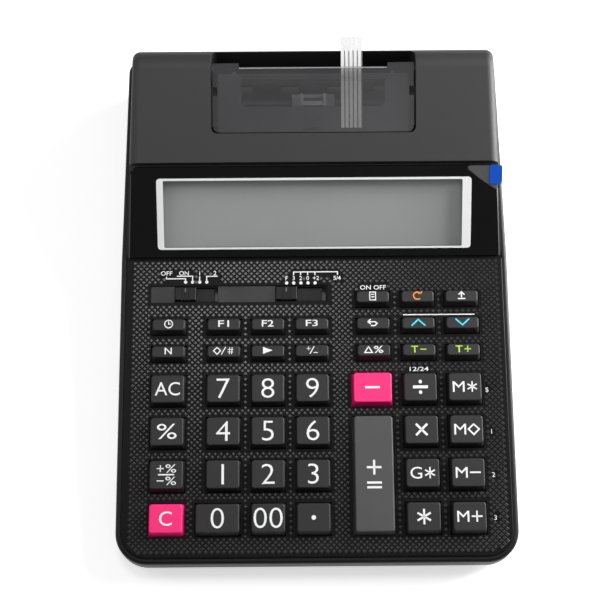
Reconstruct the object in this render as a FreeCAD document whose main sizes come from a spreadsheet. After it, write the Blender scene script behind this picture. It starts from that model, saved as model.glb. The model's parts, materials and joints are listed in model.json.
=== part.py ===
"""Printing desk calculator, built as a parametric document and written out one file per piece.

Millimetres. X runs to the right, Y to the back, Z up.
The origin is on the desk, under the middle of the case.
"""
import FreeCAD
import Part
import Sketcher
import math
import os
import re

Vector = FreeCAD.Vector

# Driving dimensions
SIZES = {
    # Smallest corner, and how far a cutting outline passes the solid
    "sharp": 0.4, "over": 1.0, "slope_lead": 5.0,
    # Case outline and walls
    "case_width": 165.0, "case_length": 224.0, "front_corner": 13.0, "rear_corner": 5.8,
    "foot_height": 2.0, "floor_thick": 2.2, "wall": 3.6, "rim_wall": 2.1, "rim_gap": 0.2,
    "rim_drop": 0.8, "ledge_depth": 4.0, "base_round": 4.0, "rim_round": 1.5, "shell": 2.2,
    # Keypad plate: tilted, meets the display at the bend
    "plate_tilt": 6.3, "bend_y": 15.2, "bend_z": 29.1, "plate_thick": 2.2, "skirt_wall": 1.4,
    "plate_edge": 0.6, "panel_relief": 0.25,
    # Screw bosses that hold the board under the plate
    "boss_radius": 2.0, "boss_screw": 0.9, "boss_side": 73.4, "boss_middle": 10.2, "boss_front": 24.6,
    "boss_centre": 60.0, "boss_back": 92.0,
    # Display slope
    "display_tilt": 30.0, "window_thick": 2.0, "window_bottom": 158.6, "window_top": 154.8,
    "window_start": 0.3, "window_end": 39.4, "window_corner": 3.2, "window_edge": 0.4,
    "view_width": 129.0, "view_start": 4.2, "view_end": 33.5, "glass_width": 133.0, "glass_start": 2.6,
    "glass_end": 35.2, "glass_thick": 2.6, "seat_gap": 0.2,
    # Hump
    "hump_front_y": 50.6, "hump_front_z": 49.9, "hump_tilt": 21.0, "hump_length": 47.7,
    "side_draft": 6.5, "rear_round": 8.0, "hump_round": 3.5, "skirt_corner": 4.6, "upper_front_gap": 0.4,
    # Printer well in the hump
    "well_width": 86.4, "well_front_y": 61.9, "well_rear_y": 96.0, "well_corner": 2.6, "well_wall": 1.6,
    "well_floor_z": 43.0, "ledge_width": 3.6, "ledge_thick": 1.6, "ledge_start": 3.0, "ledge_end": 20.0,
    # Paper inlet and power inlet at the back
    "paper_width": 64.0, "paper_low_z": 32.6, "paper_high_z": 38.6, "paper_reach": 14.0,
    "inlet_x": 58.0, "inlet_z": 15.0, "inlet_radius": 4.2,
    # Printer cover, laid out along the hump from its front edge
    "cover_y": 62.3, "cover_width": 84.6, "cover_thick": 1.6, "cover_corner": 2.4, "tear_at": 26.6,
    "ear_end": 29.0, "ear_width": 11.0, "cover_skirt": 3.4, "cover_skirt_wall": 1.5, "ear_skirt": 4.7,
    "band_start": 21.6, "band_thick": 2.6, "hinge_at": 27.0, "hinge_drop": 3.0, "hinge_pin": 1.5,
    "hinge_reach": 43.9, "hinge_play": 0.06, "tooth_pitch": 0.83, "tooth_height": 0.7, "tooth_thick": 0.6,
    "tooth_root": 0.2, "ear_reach": 2.5, "notch_x": -0.7, "notch_width": 7.6, "notch_length": 1.7,
    "notch_depth": 0.7, "nick_start": 15.2, "nick_end": 19.1, "nick_depth": 1.9,
    # Printer mechanism, in the same slanted frame
    "deck_width": 80.6, "deck_start": 0.2, "deck_end": 25.0, "deck_drop": 3.9, "deck_thick": 1.6,
    "deck_window": 61.0, "deck_window_start": 11.1, "deck_window_end": 22.6, "deck_corner": 2.5,
    "deck_round": 1.0, "cheek_at": 33.0, "cheek_thick": 1.5, "cheek_start": 3.0, "cheek_end": 26.5,
    "cheek_foot": 28.0, "cheek_trim": 3.0, "tie_thick": 1.5, "rod_at": 13.2, "rod_drop": 12.0,
    "rod_radius": 1.5, "motor_at": 10.0, "motor_drop": 21.6, "motor_radius": 4.6, "motor_length": 22.0,
    "running_play": 0.05, "roller_at": 22.6, "roller_drop": 16.8, "roller_radius": 4.0, "roller_shaft": 1.5,
    "roller_length": 12.0, "roller_pitch": 20.0, "carriage_width": 18.0, "carriage_start": 9.6,
    "carriage_end": 16.8, "carriage_top": 8.6, "carriage_foot": 15.0, "cradle_width": 11.0,
    "cradle_wall": 1.2, "cradle_start": 11.5, "cradle_top": 4.6, "cradle_root": 0.5, "ink_at": 13.2, "ink_drop": 6.6,
    "ink_radius": 1.9, "ink_length": 8.0, "ink_pin": 0.6, "tab_start": 7.4, "tab_thick": 1.0,
    "tab_width": 8.8,
    # Keys, laid out on the plate from its front edge
    "row_g": 15.75, "row_pitch": 17.72, "row_c": 84.8, "small_pitch": 11.5,
    "column_left": -61.5, "column_one": -38.4, "column_two": -19.9, "column_three": -1.4,
    "column_sum": 23.5, "column_sum_small": 24.4, "column_sign": 43.35, "column_memory": 61.9,
    "zero_shift": 2.1, "key_width": 13.4, "key_length": 11.5, "small_length": 4.7, "zero_width": 17.5,
    "sum_width": 15.7, "minus_length": 12.2, "key_rise": 4.2, "small_rise": 3.2,
    "side_slope": 0.5, "back_slope": 0.3, "front_slope": 1.2, "small_front_slope": 1.6,
    "key_corner": 1.3, "key_edge": 0.55, "key_play": 0.35, "flange_over": 0.8, "flange_thick": 1.0,
    "flange_gap": 0.15, "key_wall": 1.2, "key_hollow": 0.3, "plunger_radius": 1.1, "key_travel": 1.8,
    # Rubber sheet and board under the keys
    "dome_gap": 0.15, "dome_radius": 2.4, "dome_rise": 0.8, "sheet_thick": 0.8, "sheet_width": 142.0,
    "sheet_start": 7.0, "sheet_end": 118.0, "sheet_play": 0.6, "board_width": 152.0, "board_thick": 1.6,
    "jack_width": 11.0, "jack_top": 5.5, "jack_depth": 14.0, "jack_gap": 0.3, "jack_bore_depth": 11.0,
    # Slide switches in their tray
    "tray_left": -69.7, "tray_right": 5.6, "tray_start": 106.5, "tray_end": 113.8, "tray_depth": 0.8,
    "slot_length": 6.0, "slot_play": 0.15, "knob_width": 9.0, "knob_rise": 1.7, "knob_edge": 0.4,
    "mode_x": -54.8, "mode_travel": 9.0, "decimal_x": -12.0, "decimal_travel": 12.0,
    "slider_thick": 1.0, "slider_over": 1.0, "slider_short": 1.5, "slider_gap": 0.15, "grip_pitch": 1.5,
    "grip_width": 0.7, "grip_depth": 0.5,
    # Battery bay under the case
    "bay_y": 52.0, "bay_width": 56.0, "bay_length": 62.0, "bay_roof": 20.6, "bay_wall": 1.6,
    "door_over": 2.0, "door_thick": 1.6, "door_gap": 0.2, "door_side_gap": 0.25, "door_travel": 9.0,
    "door_pad": 2.0, "seat_margin": 2.0, "groove_length": 14.0, "groove_start": 10.0, "groove_pitch": 2.0,
    "groove_width": 1.0, "cell_radius": 7.15, "cell_length": 49.0, "cell_nub": 2.6, "cell_nub_length": 1.2,
    "cell_pitch": 15.0,
    # Feet and screw posts
    "foot_radius": 6.0, "foot_x": 64.0, "foot_front_y": -92.0, "foot_rear_y": 94.0, "foot_edge": 0.5,
    "post_radius": 3.0, "post_hole": 1.2, "post_front_x": 74.0, "post_front_y": -60.0,
    "post_front_top": 11.0, "post_rear_x": 70.0, "post_rear_y": 84.0, "post_rear_top": 22.0,
}
CELL_COUNT = 4
SMALLEST_CUT = 1e-3

# Places worked out from the driving dimensions, as expressions
PLATE_FRONT_Y = "(-case_length / 2 + rim_wall + rim_gap)"
PLATE_FRONT_Z = f"(bend_z - (bend_y - {PLATE_FRONT_Y}) * tan(plate_tilt))"
PANEL_LENGTH = f"((bend_y - {PLATE_FRONT_Y}) / cos(plate_tilt) - panel_relief)"
PANEL_HALF = "(case_width / 2 - rim_wall - rim_gap)"
SKIRT_DEPTH = "((rim_drop + ledge_depth) * cos(plate_tilt))"
UPPER_FRONT_Y = "(bend_y + upper_front_gap)"
UPPER_REAR_Y = "(case_length / 2 - rim_wall - rim_gap)"
HUMP_REAR_Y = "(hump_front_y + hump_length * cos(hump_tilt))"
HUMP_REAR_Z = "(hump_front_z + hump_length * sin(hump_tilt))"
SEAT_Z = "(bend_z - window_thick / cos(display_tilt))"
SEAT_TOP_Z = f"({SEAT_Z} + (hump_front_y - bend_y) * tan(display_tilt))"
COVER_Z = "(hump_front_z + (cover_y - hump_front_y) * tan(hump_tilt))"
FLANGE_FOOT = "(plate_thick + flange_gap + flange_thick)"
SHEET_TOP = f"({FLANGE_FOOT} + key_travel + dome_gap + dome_rise)"
DOOR_SEAT_Z = "(foot_height + door_thick + door_gap)"

ROWS = {
    "a": "(row_c + 2 * small_pitch)", "b": "(row_c + small_pitch)", "c": "row_c",
    "d": "(row_g + 3 * row_pitch)", "e": "(row_g + 2 * row_pitch)", "f": "(row_g + row_pitch)",
    "g": "row_g", "e_to_g": "(row_g + row_pitch)",
}

# Key families: top width, top length, rise and front slope
FAMILIES = {
    "small": ("key_width", "small_length", "small_rise", "small_front_slope"),
    "main": ("key_width", "key_length", "key_rise", "front_slope"),
    "zero": ("zero_width", "key_length", "key_rise", "front_slope"),
    "minus": ("sum_width", "minus_length", "key_rise", "front_slope"),
    "tall": ("sum_width", "(key_length + 2 * row_pitch)", "key_rise", "front_slope"),
}

LEFT, ONE, TWO, THREE = "column_left", "column_one", "column_two", "column_three"
SUM, SUM_SMALL, SIGN, MEMORY = "column_sum", "column_sum_small", "column_sign", "column_memory"

# Every key: node name, column, row, family
KEYS = [
    ("key_print", SUM_SMALL, "a", "small"), ("key_reprint", SIGN, "a", "small"),
    ("key_paper_feed", MEMORY, "a", "small"),
    ("key_time", LEFT, "b", "small"), ("key_cost", ONE, "b", "small"), ("key_sell", TWO, "b", "small"),
    ("key_margin", THREE, "b", "small"), ("key_correct", SUM_SMALL, "b", "small"),
    ("key_step_up", SIGN, "b", "small"), ("key_step_down", MEMORY, "b", "small"),
    ("key_items", LEFT, "c", "small"), ("key_subtotal", ONE, "c", "small"),
    ("key_backspace", TWO, "c", "small"), ("key_change_sign", THREE, "c", "small"),
    ("key_delta", SUM_SMALL, "c", "small"),
    ("key_tax_minus", SIGN, "c", "small"), ("key_tax_plus", MEMORY, "c", "small"),
    ("key_clear_all", LEFT, "d", "main"), ("key_seven", ONE, "d", "main"), ("key_eight", TWO, "d", "main"),
    ("key_nine", THREE, "d", "main"), ("key_minus", SUM, "d", "minus"), ("key_divide", SIGN, "d", "main"),
    ("key_memory_total", MEMORY, "d", "main"),
    ("key_percent", LEFT, "e", "main"), ("key_four", ONE, "e", "main"), ("key_five", TWO, "e", "main"),
    ("key_six", THREE, "e", "main"), ("key_plus_equals", SUM, "e_to_g", "tall"),
    ("key_multiply", SIGN, "e", "main"), ("key_memory_subtotal", MEMORY, "e", "main"),
    ("key_mark_up", LEFT, "f", "main"), ("key_one", ONE, "f", "main"), ("key_two", TWO, "f", "main"),
    ("key_three", THREE, "f", "main"), ("key_grand_total", SIGN, "f", "main"),
    ("key_memory_minus", MEMORY, "f", "main"),
    ("key_clear", LEFT, "g", "main"), ("key_zero", "(column_one - zero_shift)", "g", "zero"),
    ("key_double_zero", TWO, "g", "main"), ("key_point", THREE, "g", "main"),
    ("key_total", SIGN, "g", "main"), ("key_memory_plus", MEMORY, "g", "main"),
]

# Screw bosses: across and along
BOSSES = [(across, along) for across in ("-boss_side", "boss_middle", "boss_side")
          for along in ("boss_front", "boss_centre", "boss_back")]

doc = FreeCAD.newDocument("calculator")


def make_sheet():
    """Put every driving dimension into the document's sheet under its own alias."""
    sheet = doc.addObject("Spreadsheet::Sheet", "Sizes")
    for row, (alias, value) in enumerate(SIZES.items(), start=1):
        sheet.set(f"A{row}", alias)
        sheet.set(f"B{row}", str(value))
        sheet.setAlias(f"B{row}", alias)
    doc.recompute()
    return sheet


SHEET = make_sheet()


def linked(expression):
    """Return an expression with each alias pointed at the sheet."""
    return re.sub(r"[a-z_]+", lambda m: f"Sizes.{m[0]}" if m[0] in SIZES else m[0], str(expression))


def value(expression):
    """Return what an expression is worth now, in millimetres or degrees."""
    return float(SHEET.evalExpression(linked(expression)))


def bind(item, **expressions):
    """Bind properties to expressions; a double underscore stands for a dot in the property's path."""
    for name, expression in expressions.items():
        item.setExpression(name.replace("__", "."), linked(expression))


def place(item, x="0", y="0", z="0", tilt=None):
    """Bind an object's place, and its tilt about X if it has one."""
    if tilt:
        item.Placement = FreeCAD.Placement(Vector(), FreeCAD.Rotation(Vector(1, 0, 0), value(tilt)))
        bind(item, Placement__Rotation__Angle=tilt)
    bind(item, Placement__Base__x=x, Placement__Base__y=y, Placement__Base__z=z)


def place_on_plate(item, x="0", along="0"):
    """Place an object on the keypad plate, measured from the plate's front edge."""
    place(item, x, f"{PLATE_FRONT_Y} + ({along}) * cos(plate_tilt)",
          f"{PLATE_FRONT_Z} + ({along}) * sin(plate_tilt)", "plate_tilt")


def place_on_hump(item):
    """Place an object in the printer's slanted frame, at the cover's front edge."""
    place(item, "0", "cover_y", COVER_Z, "hump_tilt")


def new_body(label):
    """Return an empty body."""
    body = doc.addObject("PartDesign::Body", label)
    body.Label = label
    return body


def new_sketch(body, plane="XY_Plane", height=None, tilt=None, shift=None):
    """Return an empty sketch on one of the body's planes, raised, or tilted about X, if asked."""
    sketch = body.newObject("Sketcher::SketchObject", "Sketch")
    sketch.AttachmentSupport = [(next(f for f in body.Origin.OriginFeatures if f.Role == plane), "")]
    sketch.MapMode = "FlatFace"
    if tilt:
        sketch.AttachmentOffset = FreeCAD.Placement(Vector(), FreeCAD.Rotation(Vector(1, 0, 0), value(tilt)))
        bind(sketch, AttachmentOffset__Rotation__Angle=tilt)
    if shift:
        bind(sketch, AttachmentOffset__Base__y=shift)
    if height:
        bind(sketch, AttachmentOffset__Base__z=height)
    return sketch


def fix(sketch, kind, *where, size):
    """Add one dimension to a sketch and bind it."""
    index = sketch.addConstraint(Sketcher.Constraint(kind, *where, value(size)))
    sketch.setExpression(f"Constraints[{index}]", linked(size))


def draw_polygon(sketch, points):
    """Draw a closed outline through corners given as pairs of expressions."""
    corners = [Vector(value(x), value(y), 0) for x, y in points]
    lines = [sketch.addGeometry(Part.LineSegment(corner, corners[(i + 1) % len(corners)]))
             for i, corner in enumerate(corners)]
    sketch.addConstraint([Sketcher.Constraint("Coincident", line, 2, lines[(i + 1) % len(lines)], 1)
                          for i, line in enumerate(lines)])
    for line, (x, y) in zip(lines, points):
        fix(sketch, "DistanceX", -1, 1, line, 1, size=x)
        fix(sketch, "DistanceY", -1, 1, line, 1, size=y)


def draw_box(sketch, left, right, low, high):
    """Draw a rectangle from its four edges."""
    draw_polygon(sketch, [(left, low), (right, low), (right, high), (left, high)])


def draw_rounded_box(sketch, half, low, high, low_corner, high_corner):
    """Draw a rectangle, centred across, with one radius for its low corners and one for its high corners."""
    x, y0, y1 = value(half), value(low), value(high)
    r0, r1 = value(low_corner), value(high_corner)
    sides = [((r0 - x, y0), (x - r0, y0)), ((x, y0 + r0), (x, y1 - r1)),
             ((x - r1, y1), (r1 - x, y1)), ((-x, y1 - r1), (-x, y0 + r0))]
    turns = [(x - r0, y0 + r0, r0), (x - r1, y1 - r1, r1), (r1 - x, y1 - r1, r1), (r0 - x, y0 + r0, r0)]
    parts = []
    for quarter, ((start, end), (cx, cy, radius)) in enumerate(zip(sides, turns)):
        angle = math.radians(90 * quarter - 90)
        circle = Part.Circle(Vector(cx, cy, 0), Vector(0, 0, 1), radius)
        parts.append(sketch.addGeometry(Part.LineSegment(Vector(*start, 0), Vector(*end, 0))))
        parts.append(sketch.addGeometry(Part.ArcOfCircle(circle, angle, angle + math.pi / 2)))
    joins = [Sketcher.Constraint("Tangent", part, 2, parts[(i + 1) % 8], 1) for i, part in enumerate(parts)]
    levels = [Sketcher.Constraint(("Horizontal", "Vertical")[i % 2], parts[2 * i]) for i in range(4)]
    sketch.addConstraint(joins + levels)
    for i, (kind, size) in enumerate((("DistanceY", low), ("DistanceX", half),
                                      ("DistanceY", high), ("DistanceX", f"-({half})"))):
        fix(sketch, kind, -1, 1, parts[2 * i], 1, size=size)
    for i, corner in enumerate((low_corner, high_corner, high_corner, low_corner)):
        fix(sketch, "Radius", parts[2 * i + 1], size=corner)


def draw_circle(sketch, x, y, radius):
    """Draw a circle."""
    circle = sketch.addGeometry(Part.Circle(Vector(value(x), value(y), 0), Vector(0, 0, 1), value(radius)))
    fix(sketch, "DistanceX", -1, 1, circle, 3, size=x)
    fix(sketch, "DistanceY", -1, 1, circle, 3, size=y)
    fix(sketch, "Radius", circle, size=radius)


def pad(body, sketch, length, down=False, draft=None, both=False):
    """Raise a sketch into a solid."""
    feature = body.newObject("PartDesign::Pad", "Pad")
    feature.Profile = sketch
    feature.Reversed = down
    feature.Midplane = both
    bind(feature, Length=length)
    if draft:
        bind(feature, TaperAngle=f"-({draft})")
    doc.recompute()
    return feature


def pocket(body, sketch, length, up=False, both=False):
    """Cut a sketch out of the body, and make sure that the cut took something away."""
    before = body.Shape.Volume
    feature = body.newObject("PartDesign::Pocket", "Pocket")
    feature.Profile = sketch
    feature.Reversed = up
    feature.Midplane = both
    bind(feature, Length=length)
    doc.recompute()
    if body.Shape.Volume > before - SMALLEST_CUT:
        raise RuntimeError(f"{body.Label}: a pocket cut nothing")
    return feature


def round_edges(body, radius, wanted):
    """Round the edges of a body that a test picks."""
    base = body.Tip
    names = [f"Edge{i}" for i, edge in enumerate(base.Shape.Edges, start=1) if wanted(edge)]
    if not names:
        raise RuntimeError(f"{body.Label}: no edge to round")
    feature = body.newObject("PartDesign::Fillet", "Fillet")
    feature.Base = (base, names)
    bind(feature, Radius=radius)
    doc.recompute()
    return feature


def is_upright(edge):
    """Tell whether an edge climbs steeply from one end to the other."""
    box = edge.BoundBox
    return box.ZLength > 2 * max(box.XLength, box.YLength)


def is_level_at(edge, height, slack=0.01):
    """Tell whether an edge lies flat at a height of its body's own frame."""
    return abs(edge.BoundBox.ZMin - height) < slack and abs(edge.BoundBox.ZMax - height) < slack


def primitive(kind, **sizes):
    """Return a primitive with its sizes bound."""
    item = doc.addObject(f"Part::{kind}", kind)
    bind(item, **sizes)
    return item


def combine(kind, label, base, tool):
    """Return two solids cut, fused or intersected."""
    item = doc.addObject(f"Part::{kind}", label)
    item.Label = label
    item.Base = base
    item.Tool = tool
    return item


def group(label, items):
    """Return separate solids kept together as one piece."""
    item = doc.addObject("Part::Compound", label)
    item.Label = label
    item.Links = items
    return item


def make_lower_case():
    """Tray with a rim that follows the keypad, a seat for the upper shells, a battery bay and screw posts."""
    body = new_body("LowerTray")
    rim_z = "(bend_z - rim_drop)"
    outline = new_sketch(body, height="foot_height")
    draw_rounded_box(outline, "case_width / 2", "-case_length / 2", "case_length / 2", "front_corner",
                     "rear_corner")
    pad(body, outline, f"{rim_z} - foot_height")
    slope = new_sketch(body, "YZ_Plane")
    ahead = "(-case_length / 2 - over)"
    behind = "(case_length / 2 + over)"
    front_rim_z = f"({rim_z} - (bend_y - {ahead}) * tan(plate_tilt))"
    draw_polygon(slope, [(ahead, front_rim_z), ("bend_y", rim_z), ("bend_y", f"{rim_z} + over"),
                         (ahead, f"{rim_z} + over")])
    pocket(body, slope, "case_width + 2 * over", both=True)
    round_edges(body, "base_round", lambda edge: is_level_at(edge, value("foot_height")))
    lowest_rim = value(f"{front_rim_z} - sharp")
    beyond_crease = value("case_width / 4")
    round_edges(body, "rim_round", lambda edge: edge.BoundBox.ZMin > lowest_rim and not is_upright(edge)
                and abs(edge.CenterOfMass.x) + abs(edge.CenterOfMass.y) > beyond_crease)
    inside = new_sketch(body, height="foot_height + floor_thick")
    draw_rounded_box(inside, "case_width / 2 - wall", "-case_length / 2 + wall", "case_length / 2 - wall",
                     "front_corner - wall", "rear_corner - wall")
    pocket(body, inside, "bend_z", up=True)

    holes = new_sketch(body, height="foot_height")
    for end in ("front", "rear"):
        posts = new_sketch(body, height="foot_height + floor_thick")
        for side in ("", "-"):
            draw_circle(posts, f"{side}post_{end}_x", f"post_{end}_y", "post_radius")
            draw_circle(holes, f"{side}post_{end}_x", f"post_{end}_y", "post_hole")
        pad(body, posts, f"post_{end}_top - foot_height - floor_thick")
    pocket(body, holes, "bend_z", up=True)

    bay = new_sketch(body, height="foot_height + floor_thick / 2")
    draw_box(bay, "-bay_width / 2 - bay_wall", "bay_width / 2 + bay_wall",
             "bay_y - bay_length / 2 - bay_wall", "bay_y + bay_length / 2 + bay_wall")
    pad(body, bay, "bay_roof - foot_height - floor_thick / 2")
    rebate_half = "(bay_width / 2 + door_over)"
    rebate_front = "(bay_y - bay_length / 2 - door_over)"
    rebate_rear = "(bay_y + bay_length / 2 + door_over + door_travel)"
    seat = new_sketch(body, height="foot_height")
    draw_box(seat, f"-{rebate_half} - seat_margin", f"{rebate_half} + seat_margin",
             f"{rebate_front} - seat_margin", f"{rebate_rear} + seat_margin")
    pad(body, seat, "floor_thick + door_pad")
    rebate = new_sketch(body, height="foot_height")
    draw_box(rebate, f"-{rebate_half}", rebate_half, rebate_front, rebate_rear)
    pocket(body, rebate, "door_thick + door_gap", up=True)
    hollow = new_sketch(body, height="foot_height")
    draw_box(hollow, "-bay_width / 2", "bay_width / 2", "bay_y - bay_length / 2", "bay_y + bay_length / 2")
    pocket(body, hollow, "bay_roof - foot_height - bay_wall", up=True)
    inlet = new_sketch(body, "XZ_Plane", height=f"-{behind}")
    draw_circle(inlet, "inlet_x", "inlet_z", "inlet_radius")
    pocket(body, inlet, "wall + 2 * over", up=True)

    step = new_body("RimSeat")
    step_outline = new_sketch(step)
    draw_rounded_box(step_outline, "case_width / 2 - rim_wall", "-case_length / 2 + rim_wall",
                     "case_length / 2 - rim_wall", "front_corner - rim_wall", "rear_corner - rim_wall")
    pad(step, step_outline, "bend_z + over")
    under = new_sketch(step, "YZ_Plane")
    ledge_z = f"({rim_z} - ledge_depth)"
    draw_polygon(under, [(ahead, "-over"), (behind, "-over"), (behind, ledge_z), ("bend_y", ledge_z),
                         (ahead, f"{front_rim_z} - ledge_depth")])
    pocket(step, under, "case_width + 2 * over", both=True)
    return combine("Cut", "lower_case", body, step)


def make_hump_form(label, inset):
    """Solid hump, moved in by an inset: display slope, roof, leaning rear wall, drafted sides and a skirt."""
    body = new_body(label)
    half = f"({PANEL_HALF} - {inset})"
    front = f"({UPPER_FRONT_Y} + {inset})"
    rear = f"({UPPER_REAR_Y} - {inset})"
    high = f"({HUMP_REAR_Z} + slope_lead)"
    block = new_sketch(body, height="bend_z")
    draw_box(block, f"-{half}", half, front, rear)
    pad(body, block, f"{high} - bend_z")
    sides = new_sketch(body, "XZ_Plane")
    top_half = f"({half} - ({high} - bend_z) * tan(side_draft))"
    for sign in ("", "-"):
        draw_polygon(sides, [(f"{sign}{half}", "bend_z"), (f"{sign}{top_half}", high),
                             (f"{sign}case_width", high), (f"{sign}case_width", "bend_z")])
    pocket(body, sides, "3 * case_length", both=True)
    above = new_sketch(body, "YZ_Plane")
    seat_z = f"({SEAT_Z} - {inset} / cos(display_tilt))"
    step_y = f"(hump_front_y + {inset})"
    roof_z = f"(hump_front_z + {inset} * tan(hump_tilt) - {inset} / cos(hump_tilt))"
    corner_y = f"({HUMP_REAR_Y} - {inset} * (cos(hump_tilt) - sin(hump_tilt)))"
    corner_z = f"({HUMP_REAR_Z} - {inset} * (cos(hump_tilt) + sin(hump_tilt)))"
    ahead = "(bend_y - slope_lead)"
    ahead_z = f"({seat_z} - slope_lead * tan(display_tilt))"
    step_z = f"({seat_z} + ({step_y} - bend_y) * tan(display_tilt))"
    draw_polygon(above, [(ahead, ahead_z), (step_y, step_z), (step_y, roof_z), (corner_y, corner_z),
                         (rear, "bend_z"), ("case_length", "bend_z"), ("case_length", f"{high} + over"),
                         (ahead, f"{high} + over")])
    pocket(body, above, "case_width + 2 * over", both=True)
    corner_height = value(corner_z)
    round_edges(body, f"rear_round - {inset}", lambda edge: is_level_at(edge, corner_height))
    roof_edge = value("case_width / 2 - 2 * rear_round")
    round_edges(body, f"hump_round - {inset} / 2", lambda edge: abs(edge.CenterOfMass.x) > roof_edge
                and edge.CenterOfMass.z > value("hump_front_z")
                and edge.BoundBox.YLength > value("hump_length / 2"))
    skirt = new_sketch(body, height="bend_z")
    draw_rounded_box(skirt, half, front, rear, "sharp", f"skirt_corner - {inset}")
    pad(body, skirt, f"rim_drop + ledge_depth + {inset}", down=True)
    slope = new_sketch(body, "YZ_Plane")
    draw_polygon(slope, [(ahead, ahead_z), (step_y, step_z), (ahead, step_z)])
    pocket(body, slope, "case_width + 2 * over", both=True)
    return body


def make_upper_case():
    """Hump shell: slope for the display, roof with the printer well, and a leaning rear wall."""
    body = make_hump_form("HumpForm", "0")
    view = new_sketch(body, height="bend_z", tilt="display_tilt", shift="bend_y")
    draw_box(view, "-view_width / 2", "view_width / 2", "view_start", "view_end")
    pocket(body, view, "3 * window_thick + shell")
    well = new_sketch(body, height="well_floor_z - over")
    draw_rounded_box(well, "well_width / 2", "well_front_y", "well_rear_y", "well_corner", "well_corner")
    pocket(body, well, "case_length", up=True)
    inlet = new_sketch(body, "XZ_Plane", height="-case_length / 2")
    draw_box(inlet, "-paper_width / 2", "paper_width / 2", "paper_low_z", "paper_high_z")
    pocket(body, inlet, "paper_reach", up=True)
    hinge = new_sketch(body, "YZ_Plane")
    draw_circle(hinge, "cover_y + hinge_at * cos(hump_tilt) + hinge_drop * sin(hump_tilt)",
                f"{COVER_Z} + hinge_at * sin(hump_tilt) - hinge_drop * cos(hump_tilt)",
                "hinge_pin + hinge_play")
    pocket(body, hinge, "well_width + 2 * well_wall", both=True)

    room = make_hump_form("HumpRoom", "shell")
    collar = new_sketch(room, height="well_floor_z")
    draw_rounded_box(collar, "well_width / 2 + well_wall", "well_front_y - well_wall",
                     "well_rear_y + well_wall", "well_corner + well_wall", "well_corner + well_wall")
    draw_rounded_box(collar, "well_width / 2", "well_front_y", "well_rear_y", "well_corner", "well_corner")
    pocket(room, collar, "case_length", up=True)

    shell = combine("Cut", "HumpShell", body, room)
    rests = new_body("WellLedges")
    ledges = new_sketch(rests, height="-deck_drop - deck_thick")
    outer = "(well_width / 2 + well_wall / 2)"
    draw_box(ledges, f"-{outer}", "ledge_width - well_width / 2", "ledge_start", "ledge_end")
    draw_box(ledges, "well_width / 2 - ledge_width", outer, "ledge_start", "ledge_end")
    pad(rests, ledges, "ledge_thick", down=True)
    place_on_hump(rests)
    return combine("Fuse", "upper_case", shell, rests)


def make_keypad_panel():
    """Tilted plate with a skirt all round, a hole for every key, the switch tray and the board's bosses."""
    body = new_body("keypad_panel")
    place_on_plate(body)
    corner = "front_corner - rim_wall - rim_gap"
    outline = new_sketch(body)
    draw_rounded_box(outline, PANEL_HALF, "0", PANEL_LENGTH, corner, "sharp")
    pad(body, outline, SKIRT_DEPTH, down=True)
    round_edges(body, "plate_edge", lambda edge: is_level_at(edge, 0))
    under = new_sketch(body, height="-plate_thick")
    draw_rounded_box(under, f"{PANEL_HALF} - skirt_wall", "skirt_wall", f"{PANEL_LENGTH} - skirt_wall",
                     f"{corner} - skirt_wall", "sharp")
    pocket(body, under, SKIRT_DEPTH)
    bosses = new_sketch(body, height="-plate_thick")
    screws = new_sketch(body, height=f"-{SHEET_TOP} - sheet_thick")
    for x, along in BOSSES:
        draw_circle(bosses, x, along, "boss_radius")
        draw_circle(screws, x, along, "boss_screw")
    pad(body, bosses, f"{SHEET_TOP} + sheet_thick - plate_thick", down=True)
    pocket(body, screws, f"{SHEET_TOP} + sheet_thick - plate_thick", up=True)
    tray = new_sketch(body)
    draw_box(tray, "tray_left", "tray_right", "tray_start", "tray_end")
    pocket(body, tray, "tray_depth")
    slots = new_sketch(body)
    middle = "((tray_start + tray_end) / 2)"
    for x, travel in (("mode_x", "mode_travel"), ("decimal_x", "decimal_travel")):
        draw_box(slots, f"{x} - knob_width / 2 - slot_play", f"{x} + knob_width / 2 + {travel} + slot_play",
                 f"{middle} - slot_length / 2", f"{middle} + slot_length / 2")
    pocket(body, slots, "2 * plate_thick")
    for row in ROWS:
        holes = new_sketch(body)
        for _, column, key_row, family in KEYS:
            if key_row == row:
                draw_box(holes, *key_foot(family, column, ROWS[row], "key_play"))
        pocket(body, holes, "2 * plate_thick")
    return body


def key_foot(family, x, along, margin):
    """Return the edges of a key's foot, grown by a margin."""
    width, length, _, front = FAMILIES[family]
    return (f"{x} - {width} / 2 - side_slope - {margin}", f"{x} + {width} / 2 + side_slope + {margin}",
            f"{along} - {length} / 2 - {front} - {margin}", f"{along} + {length} / 2 + back_slope + {margin}")


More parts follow.
